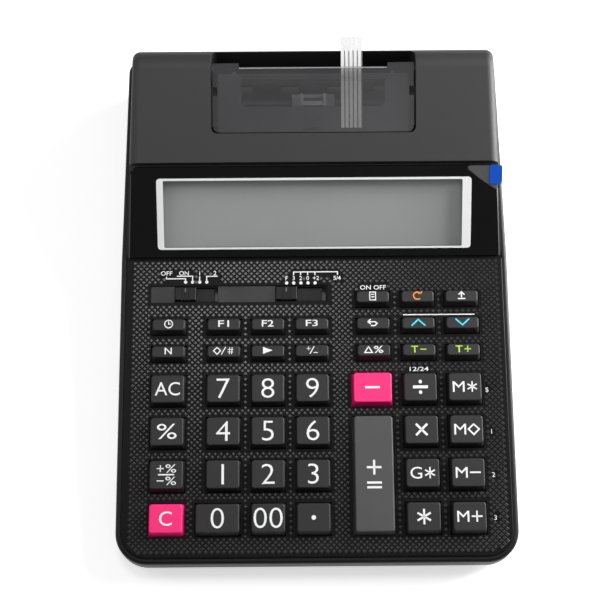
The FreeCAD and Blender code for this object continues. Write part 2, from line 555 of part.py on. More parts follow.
def make_key(name, column, row, family):
    """Hollow key cap that tapers to its face, with a flange that stops it under the plate, and a plunger."""
    width, length, rise, _ = FAMILIES[family]
    body = new_body(name)
    place_on_plate(body, column, ROWS[row])
    flange = new_sketch(body, height=f"-{FLANGE_FOOT}")
    draw_box(flange, *key_foot(family, "0", "0", "(key_play + flange_over)"))
    pad(body, flange, "flange_thick")
    neck = new_sketch(body, height=f"-{FLANGE_FOOT}")
    draw_box(neck, *key_foot(family, "0", "0", "0"))
    pad(body, neck, FLANGE_FOOT)
    foot = new_sketch(body)
    draw_box(foot, *key_foot(family, "0", "0", "0"))
    face = new_sketch(body, height=rise)
    draw_box(face, f"-{width} / 2", f"{width} / 2", f"-{length} / 2", f"{length} / 2")
    cap = body.newObject("PartDesign::AdditiveLoft", "Cap")
    cap.Profile = foot
    cap.Sections = [face]
    cap.Ruled = True
    doc.recompute()
    round_edges(body, "key_corner", lambda edge: edge.BoundBox.ZMax > value("sharp")
                and edge.BoundBox.ZLength > value("over"))
    round_edges(body, "key_edge", lambda edge: is_level_at(edge, value(rise)))
    hollow = new_sketch(body, height=f"-{FLANGE_FOOT}")
    draw_box(hollow, *key_foot(family, "0", "0", "(-key_wall)"))
    pocket(body, hollow, f"{FLANGE_FOOT} + {rise} * key_hollow", up=True)
    plunger = new_sketch(body, height=f"-{FLANGE_FOOT}")
    draw_circle(plunger, "0.0", "0.0", "plunger_radius")
    pad(body, plunger, f"{FLANGE_FOOT} + {rise} / 2")
    return body


def make_key_membrane():
    """Rubber sheet with one dome under every key, drawn at its pressed height."""
    body = new_body("key_membrane")
    place_on_plate(body)
    sheet = new_sketch(body, height=f"-{SHEET_TOP}")
    draw_box(sheet, "-sheet_width / 2", "sheet_width / 2", "sheet_start", "sheet_end")
    pad(body, sheet, "sheet_thick", down=True)
    domes = new_sketch(body, height=f"-{SHEET_TOP}")
    for _, column, row, _ in KEYS:
        draw_circle(domes, column, ROWS[row], "dome_radius")
    pad(body, domes, "dome_rise", draft="45")
    holes = new_sketch(body, height=f"-{SHEET_TOP} - sheet_thick")
    for x, along in BOSSES:
        if abs(value(x)) < value("sheet_width / 2"):
            draw_circle(holes, x, along, "boss_radius + sheet_play")
    pocket(body, holes, "2 * sheet_thick", up=True)
    return body


def make_main_board():
    """Key board under the rubber sheet, and the power jack behind its inlet."""
    board = new_body("Board")
    place_on_plate(board)
    outline = new_sketch(board, height=f"-{SHEET_TOP} - sheet_thick")
    draw_box(outline, "-board_width / 2", "board_width / 2", "sheet_start", "sheet_end")
    pad(board, outline, "board_thick", down=True)
    screws = new_sketch(board, height=f"-{SHEET_TOP} - sheet_thick")
    for x, along in BOSSES:
        draw_circle(screws, x, along, "boss_screw")
    pocket(board, screws, "2 * board_thick")
    jack = new_body("PowerJack")
    face = new_sketch(jack, "XZ_Plane", height="wall + jack_gap - case_length / 2")
    draw_box(face, "inlet_x - jack_width / 2", "inlet_x + jack_width / 2", "foot_height + floor_thick",
             "inlet_z + jack_top")
    pad(jack, face, "jack_depth")
    socket = new_sketch(jack, "XZ_Plane", height="wall + jack_gap - case_length / 2")
    draw_circle(socket, "inlet_x", "inlet_z", "inlet_radius")
    pocket(jack, socket, "jack_bore_depth", up=True)
    return group("main_board", [board, jack])


def make_display_window():
    """Full-width window with rounded top corners that lies on the display slope."""
    body = new_body("display_window")
    place(body, "0", "bend_y", "bend_z", "display_tilt")
    outline = new_sketch(body, height="-window_thick")
    draw_polygon(outline, [("-window_bottom / 2", "window_start"), ("window_bottom / 2", "window_start"),
                           ("window_top / 2", "window_end"), ("-window_top / 2", "window_end")])
    pad(body, outline, "window_thick")
    round_edges(body, "window_corner", lambda edge: is_upright(edge)
                and edge.CenterOfMass.y > value("window_end - over"))
    round_edges(body, "window_edge", lambda edge: is_level_at(edge, 0))
    return body


def make_lcd_panel():
    """Glass sandwich of the display, under the slope's opening."""
    glass = primitive("Box", Length="glass_width", Width="glass_end - glass_start", Height="glass_thick")
    glass.Label = "lcd_panel"
    drop = "(window_thick + shell + seat_gap + glass_thick)"
    place(glass, "-glass_width / 2", f"bend_y + glass_start * cos(display_tilt) + {drop} * sin(display_tilt)",
          f"bend_z + glass_start * sin(display_tilt) - {drop} * cos(display_tilt)", "display_tilt")
    return glass


def make_printer_cover():
    """Smoked lid with two rear ears on hinge pins and a serrated tear edge between them."""
    body = new_body("printer_cover")
    place_on_hump(body)
    half = "(cover_width / 2)"
    inner = "(cover_width / 2 - ear_width)"
    outline = new_sketch(body)
    draw_rounded_box(outline, half, "0", "ear_end", "cover_corner", "sharp")
    pad(body, outline, "cover_thick", down=True)
    wall = f"({half} - cover_skirt_wall)"
    for start, depth in (("cover_corner", "cover_skirt"), ("hinge_at - ear_reach", "ear_skirt")):
        side = new_sketch(body, height="-cover_thick / 2")
        for left, right in ((f"-{half}", f"-{wall}"), (wall, half)):
            draw_box(side, left, right, start, "ear_end")
        pad(body, side, f"{depth} - cover_thick / 2", down=True)
    band = new_sketch(body, height="-cover_thick / 2")
    draw_box(band, f"-{inner}", inner, "band_start", "tear_at")
    pad(body, band, "band_thick - cover_thick / 2", down=True)
    mouth = new_sketch(body)
    draw_box(mouth, f"-{inner}", inner, "tear_at", "ear_end + over")
    pocket(body, mouth, "2 * band_thick")
    notch = new_sketch(body)
    draw_box(notch, "notch_x - notch_width / 2", "notch_x + notch_width / 2", "-over", "notch_length")
    pocket(body, notch, "notch_depth")
    nicks = new_sketch(body)
    draw_box(nicks, f"-{half} - over", f"nick_depth - {half}", "nick_start", "nick_end")
    draw_box(nicks, f"{half} - nick_depth", f"{half} + over", "nick_start", "nick_end")
    pocket(body, nicks, "2 * cover_skirt")
    pins = new_sketch(body, "YZ_Plane")
    draw_circle(pins, "hinge_at", "-hinge_drop", "hinge_pin")
    pad(body, pins, "2 * hinge_reach", both=True)
    gap = new_sketch(body, "YZ_Plane")
    draw_box(gap, "hinge_at - 2 * hinge_pin", "hinge_at + 2 * hinge_pin", "-2 * ear_skirt", "-cover_thick")
    pocket(body, gap, f"2 * {wall}", both=True)
    tooth = new_sketch(body)
    draw_polygon(tooth, [(f"-{inner}", "tear_at - tooth_root"),
                         (f"-{inner} + tooth_pitch", "tear_at - tooth_root"),
                         (f"-{inner} + tooth_pitch", "tear_at"),
                         (f"-{inner} + tooth_pitch / 2", "tear_at + tooth_height"), (f"-{inner}", "tear_at")])
    first = pad(body, tooth, "tooth_thick", down=True)
    teeth = body.newObject("PartDesign::LinearPattern", "Teeth")
    teeth.Originals = [first]
    teeth.Direction = (tooth, ["H_Axis"])
    count = int(value(f"2 * {inner} / tooth_pitch"))
    teeth.Occurrences = count
    bind(teeth, Length=f"tooth_pitch * {count - 1}")
    body.Tip = teeth
    doc.recompute()
    return body


def make_printer_frame():
    """Chassis with a windowed deck, two cheeks and a tie plate, the guide rod and the motor."""
    body = new_body("Chassis")
    place_on_hump(body)
    deck = new_sketch(body, height="-deck_drop")
    draw_rounded_box(deck, "deck_width / 2", "deck_start", "deck_end", "deck_round", "deck_round")
    draw_rounded_box(deck, "deck_window / 2", "deck_window_start", "deck_window_end", "deck_corner",
                     "deck_round")
    pad(body, deck, "deck_thick", down=True)
    cheeks = new_sketch(body, height="-deck_drop - deck_thick / 2")
    tie = new_sketch(body, height="-cheek_foot")
    for left, right in (("-cheek_at - cheek_thick", "-cheek_at"), ("cheek_at", "cheek_at + cheek_thick")):
        draw_box(cheeks, left, right, "cheek_start", "cheek_end")
    draw_box(tie, "-cheek_at - cheek_thick", "cheek_at + cheek_thick", "cheek_start", "cheek_end")
    pad(body, cheeks, "cheek_foot - deck_drop - deck_thick / 2", down=True)
    pad(body, tie, "tie_thick")
    trim = new_sketch(body, "YZ_Plane")
    draw_box(trim, "deck_end", "cheek_end + over", "-deck_drop - cheek_trim", "over")
    pocket(body, trim, "2 * cheek_at + 4 * cheek_thick", both=True)
    bores = new_sketch(body, "YZ_Plane")
    draw_circle(bores, "rod_at", "-rod_drop", "rod_radius")
    draw_circle(bores, "roller_at", "-roller_drop", "roller_shaft + running_play")
    pocket(body, bores, "2 * cheek_at + 4 * cheek_thick", both=True)
    rod = new_body("GuideRod")
    place_on_hump(rod)
    bar = new_sketch(rod, "YZ_Plane")
    draw_circle(bar, "rod_at", "-rod_drop", "rod_radius")
    pad(rod, bar, "2 * cheek_at + 2 * cheek_thick", both=True)
    motor = new_body("Motor")
    place_on_hump(motor)
    can = new_sketch(motor, "YZ_Plane", height="-cheek_at")
    draw_circle(can, "motor_at", "-motor_drop", "motor_radius")
    pad(motor, can, "motor_length")
    return group("printer_frame", [body, rod, motor])


def make_print_carriage():
    """Block that slides on the guide rod, with a cradle for the ink roller and its lifting tab."""
    body = new_body("print_carriage")
    place_on_hump(body)
    block = new_sketch(body, height="-carriage_foot")
    draw_box(block, "-carriage_width / 2", "carriage_width / 2", "carriage_start", "carriage_end")
    pad(body, block, "carriage_foot - carriage_top")
    cradle = new_sketch(body, height="-carriage_top - cradle_root")
    inner = "(cradle_width / 2 - cradle_wall)"
    for left, right in (("-cradle_width / 2", f"-{inner}"), (inner, "cradle_width / 2")):
        draw_box(cradle, left, right, "cradle_start", "carriage_end")
    pad(body, cradle, "carriage_top + cradle_root - cradle_top")
    tab = new_sketch(body, height="-carriage_top")
    draw_box(tab, "-tab_width / 2", "tab_width / 2", "tab_start", "carriage_start + cradle_root")
    pad(body, tab, "tab_thick", down=True)
    bores = new_sketch(body, "YZ_Plane")
    draw_circle(bores, "rod_at", "-rod_drop", "rod_radius + running_play")
    draw_circle(bores, "ink_at", "-ink_drop", "ink_pin + running_play")
    pocket(body, bores, "2 * carriage_width", both=True)
    return body


def make_ink_roller():
    """Ink roller on its own pin, which turns in the carriage's cradle."""
    body = new_body("ink_roller")
    place_on_hump(body)
    felt = new_sketch(body, "YZ_Plane")
    draw_circle(felt, "ink_at", "-ink_drop", "ink_radius")
    pad(body, felt, "ink_length", both=True)
    pin = new_sketch(body, "YZ_Plane")
    draw_circle(pin, "ink_at", "-ink_drop", "ink_pin")
    pad(body, pin, "cradle_width", both=True)
    return body


def make_feed_roller():
    """Paper feed shaft with three rubber rollers."""
    body = new_body("feed_roller")
    place_on_hump(body)
    shaft = new_sketch(body, "YZ_Plane")
    draw_circle(shaft, "roller_at", "-roller_drop", "roller_shaft")
    pad(body, shaft, "2 * cheek_at + 2 * cheek_thick", both=True)
    for middle in ("-roller_pitch", "0", "roller_pitch"):
        rubber = new_sketch(body, "YZ_Plane", height=f"{middle} - roller_length / 2")
        draw_circle(rubber, "roller_at", "-roller_drop", "roller_radius")
        pad(body, rubber, "roller_length")
    return body


def make_switch_knob(name, x, travel):
    """Grooved knob on a slider that runs under the plate and darkens its slot."""
    body = new_body(name)
    place_on_plate(body, x, "(tray_start + tray_end) / 2")
    half = "(slot_length / 2 - slot_play)"
    slider_top = "(plate_thick + slider_gap)"
    slider = new_sketch(body, height=f"-{slider_top}")
    draw_box(slider, "-knob_width / 2 - slider_over", f"knob_width / 2 + {travel} - slider_short",
             f"-{half} - slider_over", f"{half} + slider_over")
    pad(body, slider, "slider_thick", down=True)
    knob = new_sketch(body, height=f"-{slider_top}")
    draw_box(knob, "-knob_width / 2", "knob_width / 2", f"-{half}", half)
    pad(body, knob, f"{slider_top} - tray_depth + knob_rise")
    top = value("knob_rise - tray_depth")
    round_edges(body, "knob_edge", lambda edge: is_level_at(edge, top))
    grips = new_sketch(body, height="knob_rise - tray_depth")
    for step in ("-grip_pitch", "0", "grip_pitch"):
        draw_box(grips, f"{step} - grip_width / 2", f"{step} + grip_width / 2", f"-{half} - over",
                 f"{half} + over")
    pocket(body, grips, "grip_depth")
    return body


def make_battery_door():
    """Flat door that slides back in its rebate, with a grip groove."""
    body = new_body("battery_door")
    place(body, "0", "bay_y", "foot_height")
    edge = "(door_over - door_side_gap)"
    plate = new_sketch(body)
    draw_box(plate, f"-bay_width / 2 - {edge}", f"bay_width / 2 + {edge}", f"-bay_length / 2 - {edge}",
             f"bay_length / 2 + {edge}")
    pad(body, plate, "door_thick")
    grip = new_sketch(body)
    for step in range(4):
        start = f"(bay_length / 2 - groove_start + {step} * groove_pitch)"
        draw_box(grip, "-groove_length / 2", "groove_length / 2", start, f"{start} + groove_width")
    pocket(body, grip, "door_thick / 2", up=True)
    return body


def make_battery_cells():
    """Cells side by side in the bay, turned end for end in turn."""
    cells = []
    for index in range(CELL_COUNT):
        body = new_body(f"Cell{index + 1}")
        place(body, "0", f"bay_y + ({index} - ({CELL_COUNT} - 1) / 2) * cell_pitch",
              f"{DOOR_SEAT_Z} + cell_radius")
        can = new_sketch(body, "YZ_Plane")
        draw_circle(can, "0.0", "0.0", "cell_radius")
        pad(body, can, "cell_length", both=True)
        nub = new_sketch(body, "YZ_Plane")
        draw_circle(nub, "0.0", "0.0", "cell_nub")
        pad(body, nub, "cell_length / 2 + cell_nub_length", down=index % 2 == 0)
        cells.append(body)
    return group("battery_cells", cells)


def make_rubber_feet():
    """Four round feet under the corners."""
    feet = []
    for x in ("foot_x", "-foot_x"):
        for y in ("foot_front_y", "foot_rear_y"):
            body = new_body("Foot")
            place(body, x, y)
            disc = new_sketch(body)
            draw_circle(disc, "0.0", "0.0", "foot_radius")
            pad(body, disc, "foot_height")
            round_edges(body, "foot_edge", lambda edge: is_level_at(edge, 0))
            feet.append(body)
    return group("rubber_feet", feet)


def make_pieces():
    """Build every piece of the calculator."""
    pieces = [make_lower_case(), make_upper_case(), make_keypad_panel(), make_display_window(),
              make_lcd_panel(), make_printer_cover(), make_printer_frame(), make_print_carriage(),
              make_ink_roller(), make_feed_roller(), make_key_membrane(), make_main_board(),
              make_battery_door(), make_battery_cells(), make_rubber_feet(),
              make_switch_knob("mode_switch_knob", "mode_x", "mode_travel"),
              make_switch_knob("decimal_switch_knob", "decimal_x", "decimal_travel")]
    pieces += [make_key(*key) for key in KEYS]
    doc.recompute()
    return pieces


def write_pieces(pieces):
    """Check the document and every piece, then write one file per piece."""
    for item in doc.Objects:
        if "Invalid" in item.State or "Error" in item.State:
            raise RuntimeError(f"{item.Label} failed: {item.State}")
    os.makedirs("parts", exist_ok=True)
    for piece in pieces:
        if piece.Shape.isNull() or not piece.Shape.isValid():
            raise RuntimeError(f"{piece.Label} has no sound shape")
        piece.Shape.exportStep(f"parts/{piece.Label}.step")


write_pieces(make_pieces())
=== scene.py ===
"""Looks of a printing desk calculator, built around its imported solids.

Sizes are millimetres in the working planes below and metres in the meshes.
"""
from __future__ import annotations

import json
import logging
import math
from collections.abc import Sequence
from dataclasses import dataclass, field
from enum import Enum

import bpy
import numpy as np
from mathutils import Matrix, Vector

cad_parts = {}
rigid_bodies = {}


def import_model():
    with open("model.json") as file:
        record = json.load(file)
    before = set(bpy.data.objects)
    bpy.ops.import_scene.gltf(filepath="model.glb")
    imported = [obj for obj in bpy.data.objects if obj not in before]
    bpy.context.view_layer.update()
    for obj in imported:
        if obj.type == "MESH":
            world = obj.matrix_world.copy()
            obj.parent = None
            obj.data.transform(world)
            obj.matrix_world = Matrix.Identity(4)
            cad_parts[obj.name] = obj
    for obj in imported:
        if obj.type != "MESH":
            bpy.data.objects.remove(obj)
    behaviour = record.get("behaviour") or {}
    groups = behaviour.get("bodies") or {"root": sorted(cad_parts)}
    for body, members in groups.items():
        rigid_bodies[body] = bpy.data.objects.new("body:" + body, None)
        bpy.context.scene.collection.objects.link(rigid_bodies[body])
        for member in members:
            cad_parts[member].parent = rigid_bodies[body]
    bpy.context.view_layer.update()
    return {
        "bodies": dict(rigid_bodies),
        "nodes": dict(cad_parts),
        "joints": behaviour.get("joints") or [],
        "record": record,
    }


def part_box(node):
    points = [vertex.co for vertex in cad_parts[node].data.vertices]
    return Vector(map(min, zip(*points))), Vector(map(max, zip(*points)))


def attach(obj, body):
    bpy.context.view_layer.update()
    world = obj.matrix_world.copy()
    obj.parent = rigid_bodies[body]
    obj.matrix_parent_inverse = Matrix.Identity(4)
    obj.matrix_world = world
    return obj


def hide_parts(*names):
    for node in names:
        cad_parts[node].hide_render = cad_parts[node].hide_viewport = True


LOG = logging.getLogger("calculator")
MM = 0.001
PIXELS = 600
SENSOR_MM = 36.0


@dataclass(frozen=True)
class Plane:
    """A working plane, tilted about X: across, along the slope, and rise off it.

    Args:
        y: Where the plane starts, towards the back.
        z: Height of that start.
        tilt: Slope in degrees.
    """

    y: float
    z: float
    tilt: float

    def place(self, points: np.ndarray) -> np.ndarray:
        """Turn (across, along, rise) about X by the tilt, then move it to the plane's start.

        Args:
            points: Rows of across, along and rise in millimetres.

        Returns:
            Rows of x, y and z in metres.
        """
        turn = math.radians(self.tilt)
        across, along, rise = np.moveaxis(np.asarray(points, float), -1, 0)
        return MM * np.stack([across,
                              self.y + along * math.cos(turn) - rise * math.sin(turn),
                              self.z + along * math.sin(turn) + rise * math.cos(turn)], -1)


# Where the plate meets the display's slope, and where the hump's roof starts
BEND_Y, BEND_Z = 15.2, 29.1
HUMP_Y, HUMP_Z = 50.6, 49.9
PLATE_FRONT_Y, COVER_FRONT_Y = -109.7, 62.3
PLATE_TILT, DISPLAY_TILT, ROOF_TILT = 6.3, 30.0, 21.0
PLATE_DROP = (BEND_Y - PLATE_FRONT_Y) * math.tan(math.radians(PLATE_TILT))
COVER_LIFT = (COVER_FRONT_Y - HUMP_Y) * math.tan(math.radians(ROOF_TILT))
KEYPAD = Plane(PLATE_FRONT_Y, BEND_Z - PLATE_DROP, PLATE_TILT)
DISPLAY = Plane(BEND_Y, BEND_Z, DISPLAY_TILT)
ROOF = Plane(COVER_FRONT_Y, HUMP_Z + COVER_LIFT, ROOF_TILT)
DESK = Plane(0.0, 0.0, 0.0)


def linear(code: str) -> tuple[float, float, float, float]:
    """Turn an sRGB hex colour into linear light: a straight foot, then a power curve.

    Args:
        code: Six hex digits after a hash.

    Returns:
        Red, green, blue and an alpha of one.
    """
    parts = [int(code[i:i + 2], 16) / 255 for i in (1, 3, 5)]
    return (*(c / 12.92 if c <= 0.04045 else ((c + 0.055) / 1.055) ** 2.4 for c in parts), 1.0)


def add_node(tree: bpy.types.NodeTree, kind: str, sockets: dict | None = None,
             **settings: object) -> bpy.types.Node:
    """Add one node with its settings, its values and its links.

    Args:
        tree: The tree that gets the node.
        kind: The node's type.
        sockets: Input name to a value, or to the output that feeds it.
        settings: The node's own properties.

    Returns:
        The new node.
    """
    node = tree.nodes.new(kind)
    for name, setting in settings.items():
        setattr(node, name, setting)
    for name, given in (sockets or {}).items():
        if isinstance(given, bpy.types.NodeSocket):
            tree.links.new(given, node.inputs[name])
        else:
            node.inputs[name].default_value = given
    return node


# Detail of the soft patches, how fast it fades, and detail of the fine grain
PATCH_DETAIL, PATCH_FADE, GRAIN_DETAIL = 3.0, 0.55, 2.0


@dataclass(frozen=True)
class Finish:
    """One real material: what it is, its two close tones, its gloss and its grain.

    Args:
        name: Common name and how its surface was made.
        tone: Main colour.
        mottle: Second colour, laid over it in soft patches.
        roughness: Middle of the gloss.
        swing: How far the gloss wanders from patch to patch.
        patch_mm: Size of those patches.
        grain_mm: Size of the surface's grain, drawn coarser than the real one, so that it shows.
        grain_depth_mm: Height of that grain.
        ior: Index of refraction; a metal keeps the shader's own.
        metallic: One for bare metal.
        alpha: How much a clear plastic covers.
    """

    name: str
    tone: str
    mottle: str
    roughness: float
    swing: float = 0.05
    patch_mm: float = 9.0
    grain_mm: float = 0.45
    grain_depth_mm: float = 0.012
    ior: float = 1.54
    metallic: float = 0.0
    alpha: float = 1.0

    def material(self) -> bpy.types.Material:
        """Return the material, made at its first use.

        Patches of noise mix the two tones and swing the gloss; a fine noise lifts the normal.

        Returns:
            The material.
        """
        made = bpy.data.materials.get(self.name)
        if made:
            return made
        made = bpy.data.materials.new(self.name)
        made.use_nodes = True
        tree = made.node_tree
        shader = tree.nodes["Principled BSDF"]
        where = add_node(tree, "ShaderNodeTexCoord").outputs["Object"]
        patches = add_node(tree, "ShaderNodeTexNoise", {
            "Vector": where, "Scale": 1 / (self.patch_mm * MM), "Detail": PATCH_DETAIL,
            "Roughness": PATCH_FADE}).outputs["Fac"]
        tones = add_node(tree, "ShaderNodeMix", {
            "Factor": patches, "A": linear(self.tone), "B": linear(self.mottle)}, data_type="RGBA")
        gloss = add_node(tree, "ShaderNodeMapRange", {
            "Value": patches, "To Min": self.roughness - self.swing, "To Max": self.roughness + self.swing})
        grain = add_node(tree, "ShaderNodeTexNoise", {
            "Vector": where, "Scale": 1 / (self.grain_mm * MM), "Detail": GRAIN_DETAIL}).outputs["Fac"]
        lift = add_node(tree, "ShaderNodeBump", {
            "Height": grain, "Distance": self.grain_depth_mm * MM, "Strength": 1.0})
        tree.links.new(next(s for s in tones.outputs if s.type == "RGBA"), shader.inputs["Base Color"])
        tree.links.new(gloss.outputs["Result"], shader.inputs["Roughness"])
        tree.links.new(lift.outputs["Normal"], shader.inputs["Normal"])
        if not self.metallic:
            shader.inputs["IOR"].default_value = self.ior
        shader.inputs["Metallic"].default_value = self.metallic
        shader.inputs["Alpha"].default_value = self.alpha
        return made


# Textured ABS, dark: a satin tray that catches a soft line along its rim
CASE_ABS = Finish("abs_dark_satin", "#08080a", "#0c0c0e", 0.46, grain_depth_mm=0.006, ior=1.38)
# Spark-eroded ABS: an even matte grey without a mirror image, over a grain that just shows
HUMP_ABS = Finish("abs_grey_spark_eroded", "#28282a", "#2f2f30", 0.6, grain_mm=0.5, grain_depth_mm=0.02)
# Glossier ABS of the keypad, whose bumps glint under a lamp
BUMP_ABS = Finish("abs_black_textured", "#1a1a1c", "#222224", 0.3, grain_depth_mm=0.004)
# Between the bumps the same plastic lies in their shade: its darker tone is painted shade, and a lower index
# keeps it dark
PLATE_ABS = Finish("abs_black_shaded", "#060607", "#0a0a0b", 0.5, grain_depth_mm=0.006, ior=1.25)
# Satin ABS on the tray's floors: a soft sheen, a little lighter than the shaded plate
TRAY_ABS = Finish("abs_black_satin", "#0f0f10", "#151516", 0.4, grain_depth_mm=0.004, ior=1.42)
# Moulded key caps: dark and matte, with a soft light along their slopes
KEY_ABS = Finish("abs_key_matte", "#101012", "#151517", 0.58, grain_mm=0.35, grain_depth_mm=0.008)
# The tall key's cap: the same plastic in a clearly lighter grey
LIGHT_KEY_ABS = Finish("abs_key_light_matte", "#404042", "#484849", 0.5, grain_mm=0.35,
                       grain_depth_mm=0.008)
# Knobs of the slide switches: blacker than the tray they stand in
KNOB_ABS = Finish("abs_black_knob", "#0b0b0d", "#101012", 0.45, grain_depth_mm=0.004, ior=1.34)
# Dyed key caps: the one strong colour, matte enough that no highlight bleaches it
PINK_ABS = Finish("abs_key_pink", "#fa0f70", "#ff1c7e", 0.5, grain_mm=0.35, grain_depth_mm=0.008)
# Back-painted acrylic: deep black with a polished face
WINDOW_BLACK = Finish("acrylic_black_polished", "#070708", "#0a0a0b", 0.12, swing=0.03,
                      grain_depth_mm=0.001, ior=1.49)
# Clear acrylic of the pane: only its reflections show
WINDOW_CLEAR = Finish("acrylic_clear", "#d8dadb", "#e0e2e2", 0.06, swing=0.02, grain_depth_mm=0.0005,
                      ior=1.49, alpha=0.05)
# Screen-printed inks: flat, even colour, so that signs read as print and not as relief
WHITE_PRINT = Finish("screen_print_white", "#eeeeee", "#f6f6f6", 0.5, grain_depth_mm=0.003)
GREY_PRINT = Finish("screen_print_grey", "#6c6c6f", "#77777a", 0.5, grain_depth_mm=0.003)
ORANGE_PRINT = Finish("screen_print_orange", "#ff8a1e", "#ff9630", 0.5, grain_depth_mm=0.003)
GREEN_PRINT = Finish("screen_print_green", "#b9dc3c", "#c6ea44", 0.5, grain_depth_mm=0.003)
CYAN_PRINT = Finish("screen_print_cyan", "#2ed3ea", "#48dcee", 0.5, grain_depth_mm=0.003)
# Reflective liquid-crystal glass with its polariser: an even grey, slightly silky
LCD_GLASS = Finish("lcd_polariser_grey", "#959796", "#9d9f9e", 0.4, patch_mm=30.0, grain_depth_mm=0.003)
# Smoked styrene: clear, with a grey veil
SMOKED = Finish("styrene_smoked_clear", "#515153", "#59595b", 0.16, swing=0.04, grain_depth_mm=0.002,
                ior=1.57, alpha=0.33)
# The same styrene where the teeth were cut: frosted, and made light as a painted highlight on the teeth
FROSTED_HIGHLIGHT = Finish("styrene_frosted_edge_highlight", "#c4c4c6", "#dcdcde", 0.5, patch_mm=1.2, alpha=0.8)
# Moulded printer frame: a matte mid grey that still shows through the smoked cover
MECHANISM = Finish("abs_mechanism_grey", "#3c3c3e", "#454547", 0.5)
# Acetal of the carriage and the ink roller's tab: the lightest pieces under the cover
CARRIAGE = Finish("acetal_light_grey", "#8d8d8f", "#98989a", 0.45)
# Inked felt: rough dark violet without a highlight
INK_FELT = Finish("ink_felt_violet", "#2a1830", "#38213f", 0.95, grain_mm=0.3, grain_depth_mm=0.08)
# Ground rubber of the feed roller: dull black with a coarse grain
ROLLER_RUBBER = Finish("rubber_ground_black", "#151515", "#1d1d1d", 0.8, grain_mm=0.3, grain_depth_mm=0.03)
# Moulded rubber feet: dull black, smoother than the roller
FOOT_RUBBER = Finish("rubber_moulded_black", "#171717", "#1e1e1e", 0.75, grain_depth_mm=0.02)
# Silicone of the key membrane: pale and dull
MEMBRANE = Finish("silicone_grey", "#8a8a88", "#949492", 0.6)
# Solder mask of the main board: silky green
BOARD = Finish("board_solder_mask", "#1c5a2c", "#236a35", 0.4)
# Printed steel of the cells: metal under a coloured lacquer
CELL_WRAP = Finish("cell_printed_steel", "#55585c", "#666a6e", 0.35, metallic=0.6)
# Zinc-plated steel of the screws and the inlet's pin: bright, with small sharp lights
STEEL = Finish("steel_zinc_plated", "#b9bbbd", "#c9cbcd", 0.3, metallic=1.0, grain_depth_mm=0.004)
# Thin protective film that has lifted in one corner: hazy where air is under it
FILM = Finish("polyester_film_hazy", "#5a5a5c", "#6d6d6f", 0.35, patch_mm=2.0, grain_mm=0.8,
              grain_depth_mm=0.05, alpha=0.55)
# Printed film of the pull tab: a flat, strong blue with little reflection
TAB_BLUE = Finish("polyester_tab_blue", "#0048b8", "#0052c4", 0.5, grain_depth_mm=0.004, ior=1.35)
# Clear film of the strip: a light veil over what lies under it
STRIP_CLEAR = Finish("polyester_strip_clear", "#8f9192", "#a1a3a4", 0.25, alpha=0.35, grain_depth_mm=0.004)
# White ink of the strip's stripes: bright bars
STRIP_WHITE = Finish("polyester_strip_white", "#dcdcdc", "#e8e8e8", 0.4, grain_depth_mm=0.004)


@dataclass
class Surface:
    """Points and faces worked out as whole arrays.

    Args:
        points: Rows of x, y, z.
        faces: Arrays of corner numbers, one array for each number of corners.
    """

    points: np.ndarray
    faces: list[np.ndarray]

    def on(self, plane: Plane) -> Surface:
        """Return the surface placed on a working plane."""
        return Surface(plane.place(self.points), self.faces)

    def moved(self, across: float, along: float, rise: float = 0.0) -> Surface:
        """Return the surface moved within its plane."""
        return Surface(self.points + np.array([across, along, rise]), self.faces)

    def flipped(self) -> Surface:
        """Return the surface with its faces turned over."""
        return Surface(self.points, [f[:, ::-1] for f in self.faces])

    def mesh(self, name: str) -> bpy.types.Mesh:
        """Put the arrays into a mesh.

        Args:
            name: The mesh's name.

        Returns:
            The mesh, with its faces as given.
        """
        corners = np.concatenate([f.ravel() for f in self.faces]).astype(np.int32)
        counts = np.concatenate([np.full(len(f), f.shape[1]) for f in self.faces])
        starts = np.concatenate([[0], np.cumsum(counts)[:-1]]).astype(np.int32)
        made = bpy.data.meshes.new(name)
        made.vertices.add(len(self.points))
        made.vertices.foreach_set("co", self.points.astype(np.float32).ravel())
        made.loops.add(len(corners))
        made.loops.foreach_set("vertex_index", corners)
        made.polygons.add(len(counts))
        made.polygons.foreach_set("loop_start", starts)
        made.update(calc_edges=True)
        made.validate()
        return made


def joined(surfaces: list[Surface]) -> Surface:
    """Put several surfaces into one, each with its own points.

    Args:
        surfaces: What is joined.

    Returns:
        One surface.
    """
    shifts = np.concatenate([[0], np.cumsum([len(s.points) for s in surfaces])[:-1]])
    faces = [f + shift for s, shift in zip(surfaces, shifts) for f in s.faces]
    return Surface(np.concatenate([s.points for s in surfaces]), faces)


def repeated(shape: Surface, places: np.ndarray) -> Surface:
    """Set out copies of a small surface, all at once.

    Args:
        shape: The small surface.
        places: Rows of x, y, z, one for each copy.

    Returns:
        One surface of all copies.
    """
    points = shape.points[None] + places[:, None]
    shift = np.arange(len(places))[:, None, None] * len(shape.points)
    return Surface(points.reshape(-1, 3), [(f[None] + shift).reshape(-1, f.shape[1]) for f in shape.faces])


def grid(rows: np.ndarray, round_rows: bool = False, round_columns: bool = False) -> Surface:
    """Join a grid of points by four-sided faces.

    Args:
        rows: Points of shape rows by columns by three.
        round_rows: Whether the last row meets the first.
        round_columns: Whether the last column meets the first.

    Returns:
        The surface.
    """
    high, wide = rows.shape[:2]
    i, j = np.meshgrid(np.arange(high if round_rows else high - 1),
                       np.arange(wide if round_columns else wide - 1), indexing="ij")
    down, right = (i + 1) % high, (j + 1) % wide
    quads = np.stack([i * wide + j, i * wide + right, down * wide + right, down * wide + j], -1)
    return Surface(rows.reshape(-1, 3), [quads.reshape(-1, 4)])


ARC_STEPS = 7


